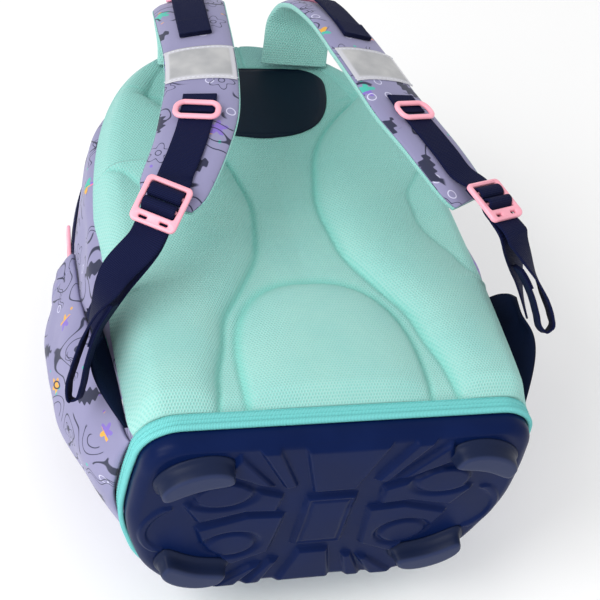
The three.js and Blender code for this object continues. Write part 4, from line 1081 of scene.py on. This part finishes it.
PANEL_ROWS = rows(
    "y seam pad",
    (26.3, 85, 0.7), (40, 83, 0.86), (54, 81, 0.95), (80, 73, 1), (104, 67, 1), (131, 50, 1), (160, 34, 1),
    (185, 29, 1), (210, 26, 1), (242, 31, 1), (263, 36, 1), (286, 47, 0.98), (309, 65, 0.93), (322, 78, 0.8),
    (334, 90, 0.6), (350, 100, 0.36), (370, 100, 0.15), (394, 100, 0.08),
)
LENS_ROWS = rows(
    "y edge",
    (123, 146), (135, 127), (155, 114), (170, 104), (185, 97.5), (200, 97), (221, 99), (231, 106), (246, 120),
    (252, 134), (256, 146),
)
LUMBAR = {"width": 65.0, "middle": 48.0, "height": 88.0, "power": 2.5}
PAD_HEIGHT, LUMBAR_HEIGHT, LENS_HEIGHT, VALLEY = 18.0, 16.0, 9.5, 4.5
PATCH_ROWS = rows(
    "up width",
    (0, 0.1), (0.015, 0.26), (0.05, 0.44), (0.1, 0.575), (0.18, 0.715), (0.28, 0.82), (0.4, 0.9),
    (0.55, 0.96), (0.7, 0.99),
    (0.8, 0.995), (0.87, 0.965), (0.92, 0.9), (0.96, 0.79), (0.985, 0.65), (1, 0.45),
)
PATCH_WIDTH, PATCH_FOOT, PATCH_SHARE = 0.44 * HALF, 0.722, 0.206


def arch_share(y):
    return np.clip((y - BODY_MIDDLE) / (HEIGHT - BODY_MIDDLE), 0, 0.9995)


def panel_half_width(y):
    corner = np.maximum(0, 1 - (y - PANEL_FOOT) / 12)
    return (PANEL_REACH * HALF - 2.4 * corner**2) * (1 - arch_share(y) ** ARCH_POWER) ** (1 / ARCH_POWER)


def panel_drop(x, y):
    """How far the panel's long edges wrap down round the body."""
    bend = np.maximum(0, (np.abs(x) / panel_half_width(y) - WRAP_START) / (1 - WRAP_START)) ** 2
    return PANEL_WRAP * (1 - arch_share(y) ** 2) * np.minimum(bend, 1)


def panel_height(x, y):
    """Height of the padded panel over its seat, and how deep a place lies in a sewn crease."""
    side = np.abs(x)
    width = panel_half_width(y)
    seam = np.minimum(read(PANEL_ROWS, "seam", y), 0.75 * width)
    has_lens = (y > LENS_ROWS[0]["y"]) & (y < LENS_ROWS[-1]["y"])
    rim = np.where(has_lens, np.minimum(read(LENS_ROWS, "edge", y), width), width)
    t = np.clip((side - seam) / np.maximum(rim - seam, 1), 0, 1)
    edge_share = np.where(has_lens & (rim < width - 2), 0.5, 0.78)
    shape = (1 - np.exp(-t / 0.15)) * (1 - edge_share * t**4.5)
    height = VALLEY + (PAD_HEIGHT - VALLEY) * read(PANEL_ROWS, "pad", y) * shape
    valley = VALLEY + 0.8 * np.sin(np.pi * np.clip(side / seam, 0, 1)) * (y > 120)
    height = np.where(side < seam, valley, height)
    beyond = np.clip((side - rim) / np.maximum(width - rim, 1), 0, 1)
    lens_height = LENS_HEIGHT * (1 - 0.62 * beyond**4) + 1.5 * np.sin(np.pi * beyond)
    blend = step_between(-0.5, 2.5, side - rim) * has_lens
    height = height * (1 - blend) + lens_height * blend
    up = np.maximum(0, y - LUMBAR["middle"]) / LUMBAR["height"]
    q = ((side / LUMBAR["width"]) ** LUMBAR["power"] + up ** LUMBAR["power"]) ** (1 / LUMBAR["power"])
    dome = (LUMBAR_HEIGHT - VALLEY) * (0.72 + 0.28 * step_between(20, 58, y))
    dome = dome * np.maximum(0, 1 - q**2.8) ** 0.62
    height = np.where(q < 1, VALLEY + dome, height)
    arc = 320 + 22 * np.sqrt(np.clip((side - 62) / 60, 0, 1))
    crease = np.maximum.reduce([
        groove(side - seam, 2.4) * step_between(334, 320, y),
        groove((q - 1) * 60, 2.6) * (y < 150),
        0.6 * groove(side - rim, 1.8) * has_lens * (rim < width - 1),
        0.45 * groove(y - arc, 1.8) * step_between(64, 74, side),
        groove(y - (366 - 0.0012 * side**2), 1.6) * (side < 44),
        0.6 * groove(side - 2, 0.9) * (y > 366),
    ])
    border = step_between(0, 9, width - side) * step_between(0, 6, PANEL_TOP + 6 - y)
    border = border * (0.1 + 0.9 * step_between(PANEL_FOOT - 3, PANEL_FOOT + 14, y))
    return (height - 1.5 * crease) * (0.35 + 0.65 * border), crease


def back_panel():
    across, along = 210, 300
    v = np.linspace(0, 1, along)[:, None]
    y = PANEL_FOOT + (PANEL_TOP - PANEL_FOOT) * (1 - (1 - v) ** 1.06)
    x = np.linspace(-1, 1, across) * panel_half_width(y)
    y = np.broadcast_to(y, x.shape)
    height, crease = panel_height(x, y)
    seat = BACK_Z - panel_drop(x, y)
    rim = grid_rim(across, along)
    low = [stack(x * 0.995, y, seat)[j, i] for i, j in rim]
    points = np.vstack([stack(x, y, seat + height).reshape(-1, 3), low])
    faces, _ = grid_faces(across, along)
    high = [j * across + i for i, j in rim]
    low = list(range(across * along, len(points)))
    faces += [[b, a, c, d] for a, b, c, d in zip(high, high[1:] + high[:1], low, low[1:] + low[:1])]
    faces.append(low[::-1])
    places = [(points[i][0], points[i][1], 0.0) for f in faces for i in f]
    panel = mesh_object("back_panel_mesh", points, faces, "mesh", places)
    # The crease depth is also kept for the painted crease shade in the mesh's material.
    point_value(panel, "crease", np.concatenate([crease.ravel(), np.zeros(len(rim))]))
    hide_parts("back_panel")


def back_patch():
    """Dark half-round patch, sewn on the panel's top."""
    v = np.concatenate([np.linspace(0, 0.1, 14), np.linspace(0.115, 0.9, 50), np.linspace(0.91, 1, 12)])
    u = np.linspace(-1, 1, 71)
    width = read(PATCH_ROWS, "width", v)[:, None] * PATCH_WIDTH
    x = u * width
    y = np.broadcast_to((HEIGHT * (PATCH_FOOT + v * PATCH_SHARE))[:, None], x.shape)
    seat = BACK_Z + np.maximum(panel_height(x, y)[0], VALLEY) + 0.4
    rim = np.minimum((1 - np.abs(u)) * width, np.minimum(v, 1 - v)[:, None] * 81)
    puff = 1.3 * (1 - np.exp(-np.maximum(rim, 0) / 1.2)) - 0.5 * groove(rim - 3.2, 0.9)
    outer, inner = stack(x, y, seat + puff + SEAT), stack(x, y, seat)
    patch = sheet("patch_cover", outer, inner, "patch", (u * 64, v * 81))
    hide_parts("back_patch")


# Shoulder straps

STATIONS = rows(
    "x y z width tilt skew",
    (0.29, 0.932, 0.1, 0.98, 0, 0),
    (0.295, 0.95, 0.26, 0.98, 0.05, 0),
    (0.31, 0.972, 0.43, 1, 0.08, 0),
    (0.335, 0.967, 0.6, 1, 0.22, 0.04),
    (0.36, 0.935, 0.71, 1, 0.34, 0.14),
    (0.395, 0.85, 0.85, 0.97, 0.34, 0.24),
    (0.427, 0.738, 0.95, 0.94, 0.27, 0.28),
    (0.47, 0.634, 1, 0.96, 0.27, 0.3),
    (0.521, 0.559, 1, 1, 0.25, 0.28),
    (0.6, 0.481, 0.98, 0.95, 0.24, 0.33),
    (0.705, 0.405, 0.88, 0.88, 0.24, 0.42),
    (0.745, 0.378, 0.82, 0.66, 0.24, 0.45),
)
STRAP_LINE = np.array([[s["x"] * HALF, s["y"] * HEIGHT, BACK_Z + s["z"] * STRAP_RISE] for s in STATIONS])
STRAP_PAD, STRAP_CROWN = 5.0, 2.4
BAND = (0.545, 0.632)
KEEPER = (0.685, 0.74)
LOOP = 0.742
LIFTER = (0.515, 0.36)
LIFTER_BUCKLE = 0.3
WEB_LIFT = 0.6 + WEB_THICK / 2


def strap_frame(t):
    """Middle, across, along, outward direction and width of the right strap, root 0 to tip 1."""
    t = np.atleast_1d(np.asarray(t, float))
    keys = np.linspace(0, 1, len(STATIONS))
    small = 1e-3
    along = unit(spline(STRAP_LINE, np.minimum(t + small, 1)) - spline(STRAP_LINE, np.maximum(t - small, 0)))
    skew, tilt = (np.interp(t, keys, column(STATIONS, name)) for name in ("skew", "tilt"))
    across = square_to(stack(1.0, skew, -tilt), along)
    width = smooth(keys, column(STATIONS, "width"), t) * STRAP_WIDTH
    return spline(STRAP_LINE, t), across, along, -np.cross(across, along), width


def cover_top(share):
    """Height of the strap's cloth over its middle line, at a share of its half width."""
    crown = 0.45 * STRAP_PAD + 0.4 * STRAP_CROWN
    return SEAT + 0.55 * STRAP_PAD + crown * (1 - np.abs(share) ** 2.6)


def strap_section(side, t, section):
    """Rings over the strap from (share across, extra, height) rows, one ring for each place t."""
    middle, across, _, normal, width = strap_frame(t)
    rings = []
    for share, extra, height in section:
        w = (share * width / 2 + extra)[:, None]
        height = np.broadcast_to(height, width.shape)[:, None]
        rings.append((middle + across * w + normal * height) * [side, 1, 1])
    return np.array(rings).transpose(1, 0, 2)


def strap_cover(side, name):
    t = np.linspace(0, 1, 170)
    wrinkle = 0.5 * np.sin(t * 90) * step_between(0.14, 0.22, t) * step_between(0.4, 0.28, t)
    shares = np.linspace(-1, 1, 31)
    section = []
    for share in shares:
        tuck = 0.8 * groove((1 - abs(share)) * 27 - 2.6, 1.1) + 1.5 * abs(share) ** 24
        section.append((share, 0, cover_top(share) - tuck + wrinkle * (1 - share**2)))
    under = [(0.995, 0.2, 1.2), (0.99, 0, 0.4), (0.5, 0, 0.3)]
    section += under + [(-share, -extra, height) for share, extra, height in under[::-1]]
    rings = strap_section(side, t, section)
    u = np.concatenate([shares, np.ones(len(under) * 2 + 1)]) * 27 + 120 * side
    cover = loft("strap_cloth_" + name, rings, "print", cloth=(u, lengths(rings[:, 15])))
    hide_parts("strap_cover_" + name)


def strap_lining(side, name):
    """Mint mesh under the strap, turned up round its edges as a soft rim."""
    section = [(share, 0, -0.6 - 1.8 * (2 - abs(share) ** 3)) for share in np.linspace(-1, 1, 25)]
    rim = [(1, 0.5, -1.6), (1, 0.9, -0.5), (1, 0.95, 0.5), (1, 0.6, 1.3), (1, 0.2, 1.1), (1, 0.1, 0.1)]
    rim.append((0.9, 0, -0.4))
    section += rim + [(0, 0, -0.5)] + [(-share, -extra, height) for share, extra, height in rim[::-1]]
    lining = loft("strap_padding_" + name, strap_section(side, np.linspace(0, 1, 170), section), "mesh")
    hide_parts("strap_lining_" + name)


def reflective_band(side, name):
    t = np.linspace(*BAND, 40)
    shares = np.linspace(-0.985, 0.985, 41)
    edge = (0.985 - np.abs(shares)) * 27
    rim = np.minimum(edge, np.minimum(t - t[0], t[-1] - t)[:, None] * 390)
    border = 1 - step_between(3.0, 3.8, rim)
    grids = []
    for lift in (0.8 + 0.5 * (1 - border), SEAT + 0 * border):
        section = [(share, 0, cover_top(share) + up) for share, up in zip(shares, lift.T)]
        grids.append(strap_section(side, t, section))
    band = sheet("band_" + name, *grids, "reflective", (shares * 27, lengths(grids[0][:, 20])))
    point_value(band, "rim", np.tile(border.ravel(), 2))
    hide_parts("reflective_band_" + name)
    for end, row in (("top", 2), ("foot", -3)):
        normal = strap_frame(t[row])[3][0] * [side, 1, 1]
        line = grids[0][row] + normal * 0.1
        dashes(f"band_stitch_{end}_{name}", line, normal, 3.2, (2.2, 0.5, 0.5), "white_thread")


def ribbon(name, middles, acrosses, node=None, width=WEB_WIDTH, thick=WEB_THICK):
    """A webbing with rounded edges along a line of middles."""
    along = tangents(middles)
    acrosses = square_to(acrosses, along)
    normals = np.cross(acrosses, along)
    flat = np.linspace(-1, 1, 13) * (width / 2 - thick * 0.3)
    section = [(a, thick / 2) for a in flat] + [(width / 2, 0)]
    section += [(-a, -h) for a, h in section]
    rings = np.array([middles + acrosses * a + normals * h for a, h in section]).transpose(1, 0, 2)
    u = np.array([a for a, _ in section] + [section[0][0]])
    tape = loft(name, rings, "webbing", cloth=(u, lengths(middles)))
    if node:
        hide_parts(node)
    return normals


def hem(name, middles, acrosses, shift, narrower, thick):
    """The folded end of a webbing, sewn on its other face."""
    ribbon(name, middles + shift, acrosses, width=WEB_WIDTH - narrower, thick=thick)


def on_strap(side, t, height):
    """Middle, across, along and outward direction at one place, at a height over the cloth."""
    middle, across, along, normal, _ = (v[0] for v in strap_frame(t))
    mirror = np.array([side, 1, 1])
    place = middle + normal * (cover_top(0) + height)
    return tuple(v * mirror for v in (place, across, along, normal))


def strap_stops(side, places):
    """Middles and across directions on the strap, at (place, height over the cover) pairs."""
    middles, acrosses, *_ = zip(*(on_strap(side, t, height) for t, height in places))
    return np.array(middles), np.array(acrosses)


def along_stops(middles, acrosses, count):
    at = np.linspace(0, 1, count)
    keys = np.linspace(0, 1, len(middles))
    return spline(middles, at), stack(*(np.interp(at, keys, values) for values in np.array(acrosses).T))


BUCKLES = {
    "left": {
        "sign": -1,
        "place": (-0.79, 0.358, 0.94), "across": (0.83, -0.56, 0.04), "along": (0.5, 0.76, 0.42),
        "tip": (-1.075, 0.278, -0.03), "tip_across": (0.1, -0.97, 0.1), "guide": (-0.965, 0.3, 0.4),
        "tail_across": (-0.3, -0.62, 0.72),
        "tail": rows(
            "x y z turn",
            (-0.993, 0.282, 0.593, 0.15), (-1.048, 0.26, 0.483, 0.4), (-1.102, 0.237, 0.354, 0.75),
            (-1.146, 0.211, 0.191, 1), (-1.184, 0.189, 0.011, 1), (-1.208, 0.17, -0.145, 1),
            (-1.2, 0.156, -0.227, 1), (-1.17, 0.154, -0.215, 1), (-1.147, 0.167, -0.133, 1),
            (-1.125, 0.19, 0.02, 1), (-1.08, 0.219, 0.22, 1), (-1.01, 0.242, 0.4, 1),
        ),
    },
    "right": {
        "sign": 1,
        "place": (0.82, 0.345, 0.99), "across": (0.89, 0.4, -0.21), "along": (-0.42, 0.9, 0.12),
        "tip": (1.12, 0.285, -0.03), "tip_across": (0.2, 0.95, -0.2), "guide": (1, 0.29, 0.45),
        "tail_across": (0.3, 0.62, -0.72),
        "tail": rows(
            "x y z turn",
            (0.91, 0.269, 0.849, 0.2), (0.95, 0.247, 0.756, 0.5), (0.993, 0.226, 0.655, 0.8),
            (1.038, 0.204, 0.534, 1), (1.075, 0.183, 0.415, 1), (1.084, 0.17, 0.336, 1),
            (1.058, 0.166, 0.286, 1), (1.032, 0.175, 0.303, 1), (1.017, 0.192, 0.376, 1),
            (0.988, 0.213, 0.489, 1), (0.95, 0.233, 0.587, 1), (0.913, 0.248, 0.656, 1),
        ),
    },
}
BUCKLE_LENGTH, BUCKLE_WIDTH, BUCKLE_THICK = 34.0, 33.0, 3.0
BAR = 3.2
BAR_CLEAR = BUCKLE_THICK / 2 + WEB_THICK / 2 + 1.4
UPPER_BAR, LOWER_BAR = 8.0, -2.4


def spot(x, y, z):
    return np.array([x * HALF, y * HEIGHT, BACK_Z + z * STRAP_RISE])


def buckle_frame(name):
    row = BUCKLES[name]
    across = unit(row["across"])
    along = square_to(np.array([row["along"]]), across[None])[0]
    return spot(*row["place"]), across, along, np.cross(across, along)


def buckle_spots(name, places):
    """Points from (along, height) pairs over a buckle's middle."""
    middle, _, direction, normal = buckle_frame(name)
    return [middle + direction * along + normal * height for along, height in places]


def buckle(name):
    middle, across, along, normal = buckle_frame(name)
    top, foot_edge = BUCKLE_LENGTH / 2 - 3.4, -BUCKLE_LENGTH / 2 + 8.6
    outlines = [
        rounded_box(BUCKLE_WIDTH, BUCKLE_LENGTH, 4.0),
        rounded_box(BUCKLE_WIDTH - 8, top - foot_edge, 1.4, (0, (top + foot_edge) / 2)),
        *(rounded_box(6, 2.2, 1.0, (x, foot_edge - 4.6)) for x in (-7.5, 7.5)),
    ]

    def bend(x, y):
        return -1.2 * step_between(-8, -17, y) + 0.5 * step_between(10, 16.5, np.abs(x))

    basis = [across, along, normal]
    plate = moulded_plate("buckle_" + name, outlines, BUCKLE_THICK + 0.6, 1.2, basis, middle, bend)
    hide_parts("strap_buckle_" + name)
    for place in (UPPER_BAR, LOWER_BAR):
        ends = [middle + along * place + across * side * (BUCKLE_WIDTH / 2 - 2.5) for side in (-1, 1)]
        bar_rod("buckle_bar_%s_%d" % (name, place), *ends, 1.3).parent = plate


def strap_webbing(name):
    side = BUCKLES[name]["sign"]
    places = [(LOOP + 0.01, 0), (LOOP + 0.035, 0), (0.8, 0), (0.85, 0.3), (0.89, 0.6)]
    middles, acrosses = strap_stops(side, [(t, WEB_LIFT + rise) for t, rise in places])
    wraps = [
        (11, -3.0), (6.6, -2.9), (4.4, -0.6), (3.0, 1.9), (0, 3.0), (-3.4, 2.2),
        (-4.7, -0.4), (-3, -3.2), (2, -4.6), (9, -5.0),
    ]
    middles = np.vstack([middles, buckle_spots(name, [(UPPER_BAR + a, height) for a, height in wraps])])
    acrosses = np.vstack([acrosses * side, [buckle_frame(name)[1]] * len(wraps)])
    ribbon("webbing_" + name, *along_stops(middles, acrosses, 150), "strap_webbing_" + name)


def lower_webbing(name):
    row = BUCKLES[name]
    across = buckle_frame(name)[1]
    tip_across, tail_across = unit(row["tip_across"]), unit(row["tail_across"])
    turn = BAR / 2 + WEB_THICK / 2
    under = BAR_CLEAR + WEB_THICK + 2 * SEAT
    lip = -BUCKLE_LENGTH / 2
    path = [
        (lip - 8, -under - 2), (lip + 5, -under), (LOWER_BAR - 3, -under + 0.4),
        (LOWER_BAR + turn - 1, -BAR_CLEAR), (LOWER_BAR + turn + 1.2, 0), (LOWER_BAR + turn - 1, BAR_CLEAR),
        (LOWER_BAR - turn + 1, BAR_CLEAR), (LOWER_BAR - turn - 1.4, 0),
        (LOWER_BAR - 6.6, -BAR_CLEAR - 0.2), (lip + 4, -BAR_CLEAR), (lip - 10, -BAR_CLEAR + 0.5),
    ]
    middles = [spot(*row["tip"]), spot(*row["guide"]), *buckle_spots(name, path)]
    acrosses = [tip_across, (across + tip_across) / 2] + [across] * len(path)
    for stop in row["tail"]:
        middles.append(spot(stop["x"], stop["y"], stop["z"]))
        acrosses.append(across * (1 - stop["turn"]) + tail_across * stop["turn"])
    line, turned = along_stops(middles, acrosses, 420)
    normals = ribbon("lower_webbing_" + name + "_tape", line, turned, "lower_webbing_" + name)
    hem("tail_hem_" + name, line[-26:], turned[-26:], normals[-26:] * 1.5, 0.4, 1.3)


def wire_ring(name, outline, radius, basis, middle):
    """A closed rod along a flat outline."""
    line = resample(np.array(outline), 120, closed=True)
    out = beside(line)
    rings = []
    for a in circle(12):
        flat = line + out * radius * math.cos(a)
        rings.append(stack(flat[:, 0], flat[:, 1], radius * 0.85 * math.sin(a)) @ np.array(basis) + middle)
    return loft(name, np.array(rings).transpose(1, 0, 2), "pink", closed=True)


def bar_rod(name, start, end, radius):
    side = unit(np.cross(unit(end - start), [0.3, 0.2, 0.9]))
    up = np.cross(unit(end - start), side)
    ring = np.array([side * radius * math.cos(a) + up * radius * math.sin(a) for a in circle(12)])
    return loft(name, [start + (end - start) * t + ring for t in np.linspace(0, 1, 8)], "pink")


def strap_fittings(side, name):
    """Keeper, loop, load lifter with its buckle and strand."""
    middles, acrosses = strap_stops(side, [(t, WEB_LIFT) for t in np.linspace(*KEEPER, 5)])
    ribbon("keeper_" + name, *along_stops(middles, acrosses, 24), "strap_keeper_" + name)
    middle, across, along, _ = on_strap(side, LOOP, 3 * SEAT + WEB_THICK + 1.5)
    outline = np.array(rounded_box(29.4, 13.4, 5.2, steps=12))
    outline[:, 1] -= 2.4 * step_between(0, -4, outline[:, 1]) * np.cos(outline[:, 0] / 15 * math.pi / 2)
    ring = wire_ring("loop_" + name, outline, 2.1, [across, along, np.cross(across, along)], middle)
    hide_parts("strap_loop_" + name)
    places = [(LIFTER[0] + k * (LIFTER[1] - LIFTER[0]), WEB_LIFT + 3 * k**2) for k in np.linspace(0, 1, 5)]
    line, turned = along_stops(*strap_stops(side, places), 60)
    normals = ribbon("lifter_tab_" + name, line, turned, "lifter_webbing_" + name)
    up = 1.6 * np.sign(np.dot(normals[0], on_strap(side, 0.43, 0)[3]))
    hem("lifter_hem_" + name, line[:16], turned[:16], normals[:16] * up, 0.3, 1.6)
    middle, across, along, _ = on_strap(side, LIFTER_BUCKLE, 1.5)
    outlines = [rounded_box(33, 14, 3.2)] + [rounded_box(25, 2.8, 1.0, (0, y)) for y in (2.8, -2.8)]
    basis = [across, along, np.cross(across, along)]
    plate = moulded_plate("lifter_plate_" + name, outlines, 3.2, 1.0, basis, middle)
    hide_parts("lifter_buckle_" + name)


def lifter_strand(side, name):
    """Webbing from the lifter's buckle down to the body's arch."""
    start, across, *_ = on_strap(side, LIFTER_BUCKLE - 0.064, 3 * SEAT + 1.5 + 1)
    depth = 0.12
    edges = []
    for x in (0.36 * HALF - WEB_WIDTH / 2, 0.36 * HALF + WEB_WIDTH / 2):
        y = arch_height(x, depth, 2 * SEAT + WEB_THICK)
        edges.append(np.array([side * x, y, BACK_Z - depth * DEPTH]))
    end = (edges[0] + edges[1]) / 2 - [0, 0.15, 0]
    middles = np.array([start, start * 0.4 + end * 0.6 + [0, 5, 0], end])
    acrosses = [across, across, unit(edges[1] - edges[0])]
    ribbon("strand_" + name, *along_stops(middles, acrosses, 50), "lifter_strand_" + name)


GUSSET_DEPTH, GUSSET_FOOT, GUSSET_HEIGHT, GUSSET_THICK = 0.115, 0.09, 0.255, 2.4


def gusset(name):
    """Cloth triangle from the panel's edge to the webbing's tip, with a slack belly."""
    row = BUCKLES[name]
    sign = row["sign"]
    tip, tip_across = spot(*row["tip"]), unit(row["tip_across"])
    lower = -1 if tip_across[1] > 0 else 1
    v, u = np.meshgrid(np.linspace(0, 1, 60), np.linspace(0, 1, 40), indexing="ij")
    y = HEIGHT * (GUSSET_FOOT + v * GUSSET_HEIGHT)
    hump = np.sin(math.pi * u)
    slack = stack(
        sign * (4 + HALF * 0.06 * (1 - v) ** 1.5),
        np.where(v < 0.5, 0.5 - v, 0.5 * (v - 0.5)) * HEIGHT * 0.05,
        1.2 * np.sin(3.1 * math.pi * v + 1.4 * u),
    ) * hump[..., None]
    grids = []
    for lift in (GUSSET_THICK, 0.0):
        root = stack(sign * side_wall(GUSSET_DEPTH, y, 3 * SEAT + lift), y, BACK_Z - GUSSET_DEPTH * DEPTH)
        end = tip + tip_across * (lower * (0.5 - v) * WEB_WIDTH)[..., None]
        end[..., 0] += sign * (lift - WEB_THICK / 2 - GUSSET_THICK - 2.8)
        grids.append(root * (1 - u[..., None]) + end * u[..., None] + slack)
    cloth = sheet("gusset_" + name, *grids, "gusset", (np.linspace(0, 30, 40), np.linspace(0, 100, 60)))
    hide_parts("side_gusset_" + name)


def grab_handle():
    depth, half_width = 0.3, 48
    angles = np.linspace(0, math.pi, 9)
    x = half_width * signed_power(np.cos(angles), 0.6)
    y = arch_height(half_width, depth) + 2.5 + 26 * np.sin(angles) ** 0.6
    line = along_stops(stack(x, y, BACK_Z - depth * DEPTH), [(0.0, 0.0, 1.0)] * len(x), 120)
    ribbon("handle_pad", *line, "grab_handle", width=22, thick=5)


# Floor, light and camera

CAMERA_PLACE = (-0.33749, -0.71725, 1.00784)
CAMERA_TURNS = (25.587, 46.260, 17.136)
CAMERA_LENS = 94.12
FLOOR_HALF = 6.0
WORLD_LIGHT = 0.84


def add(name, data):
    obj = bpy.data.objects.new(name, data)
    bpy.context.scene.collection.objects.link(obj)
    return obj


def floor():
    mesh = bpy.data.meshes.new("floor")
    corners = [(x * FLOOR_HALF, y * FLOOR_HALF, 0) for x, y in ((-1, -1), (1, -1), (1, 1), (-1, 1))]
    mesh.from_pydata(corners, [], [(0, 1, 2, 3)])
    obj = add("floor", mesh)
    mesh.materials.append(Shade("floor_paper", 0.9).done((0.97, 0.97, 0.97)))


def area_light(name, place, target, size, power):
    light = bpy.data.lights.new(name, "AREA")
    light.energy, light.size = power, size
    obj = add(name, light)
    obj.location = place
    obj.rotation_euler = (Vector(target) - Vector(place)).to_track_quat("-Z", "Y").to_euler()


def lights():
    world = bpy.data.worlds.new("studio")
    world.use_nodes = True
    background = world.node_tree.nodes["Background"]
    background.inputs[0].default_value = (1, 1, 1, 1)
    background.inputs[1].default_value = WORLD_LIGHT
    bpy.context.scene.world = world
    area_light("key", (-1.5, -0.5, 1.6), (0, 0, 0.15), 1.1, 24)
    area_light("front", (-1.6, -1.6, 0.9), (0, -0.1, 0.1), 0.6, 9)
    bpy.context.scene.view_settings.view_transform = "Standard"


def camera():
    azimuth, elevation, roll = (math.radians(a) for a in CAMERA_TURNS)
    level_reach = math.cos(elevation)
    view = Vector((math.sin(azimuth) * level_reach, math.cos(azimuth) * level_reach, -math.sin(elevation)))
    right = view.cross(Vector((0, 0, 1))).normalized()
    up = right.cross(view)
    tilted_right = math.cos(roll) * right + math.sin(roll) * up
    tilted_up = math.cos(roll) * up - math.sin(roll) * right
    data = bpy.data.cameras.new("camera")
    data.sensor_width = 36
    data.lens = CAMERA_LENS
    data.clip_end = 50
    obj = add("camera", data)
    turn = Matrix((tilted_right, tilted_up, -view)).transposed().to_4x4()
    obj.matrix_world = Matrix.Translation(CAMERA_PLACE) @ turn
    bpy.context.scene.camera = obj


camera()
lights()
floor()
body_walls()
main_zip()
zip_pulls()
front_pocket()
base()
for foot_row in FOOT_PLACES:
    foot(foot_row)
binding()
back_panel()
back_patch()
for label, sign in (("left", -1), ("right", 1)):
    side_pocket(sign, "side_pocket_" + label)
    gusset(label)
    strap_cover(sign, label)
    strap_lining(sign, label)
    reflective_band(sign, label)
    strap_fittings(sign, label)
    lifter_strand(sign, label)
    buckle(label)
    strap_webbing(label)
    lower_webbing(label)
grab_handle()
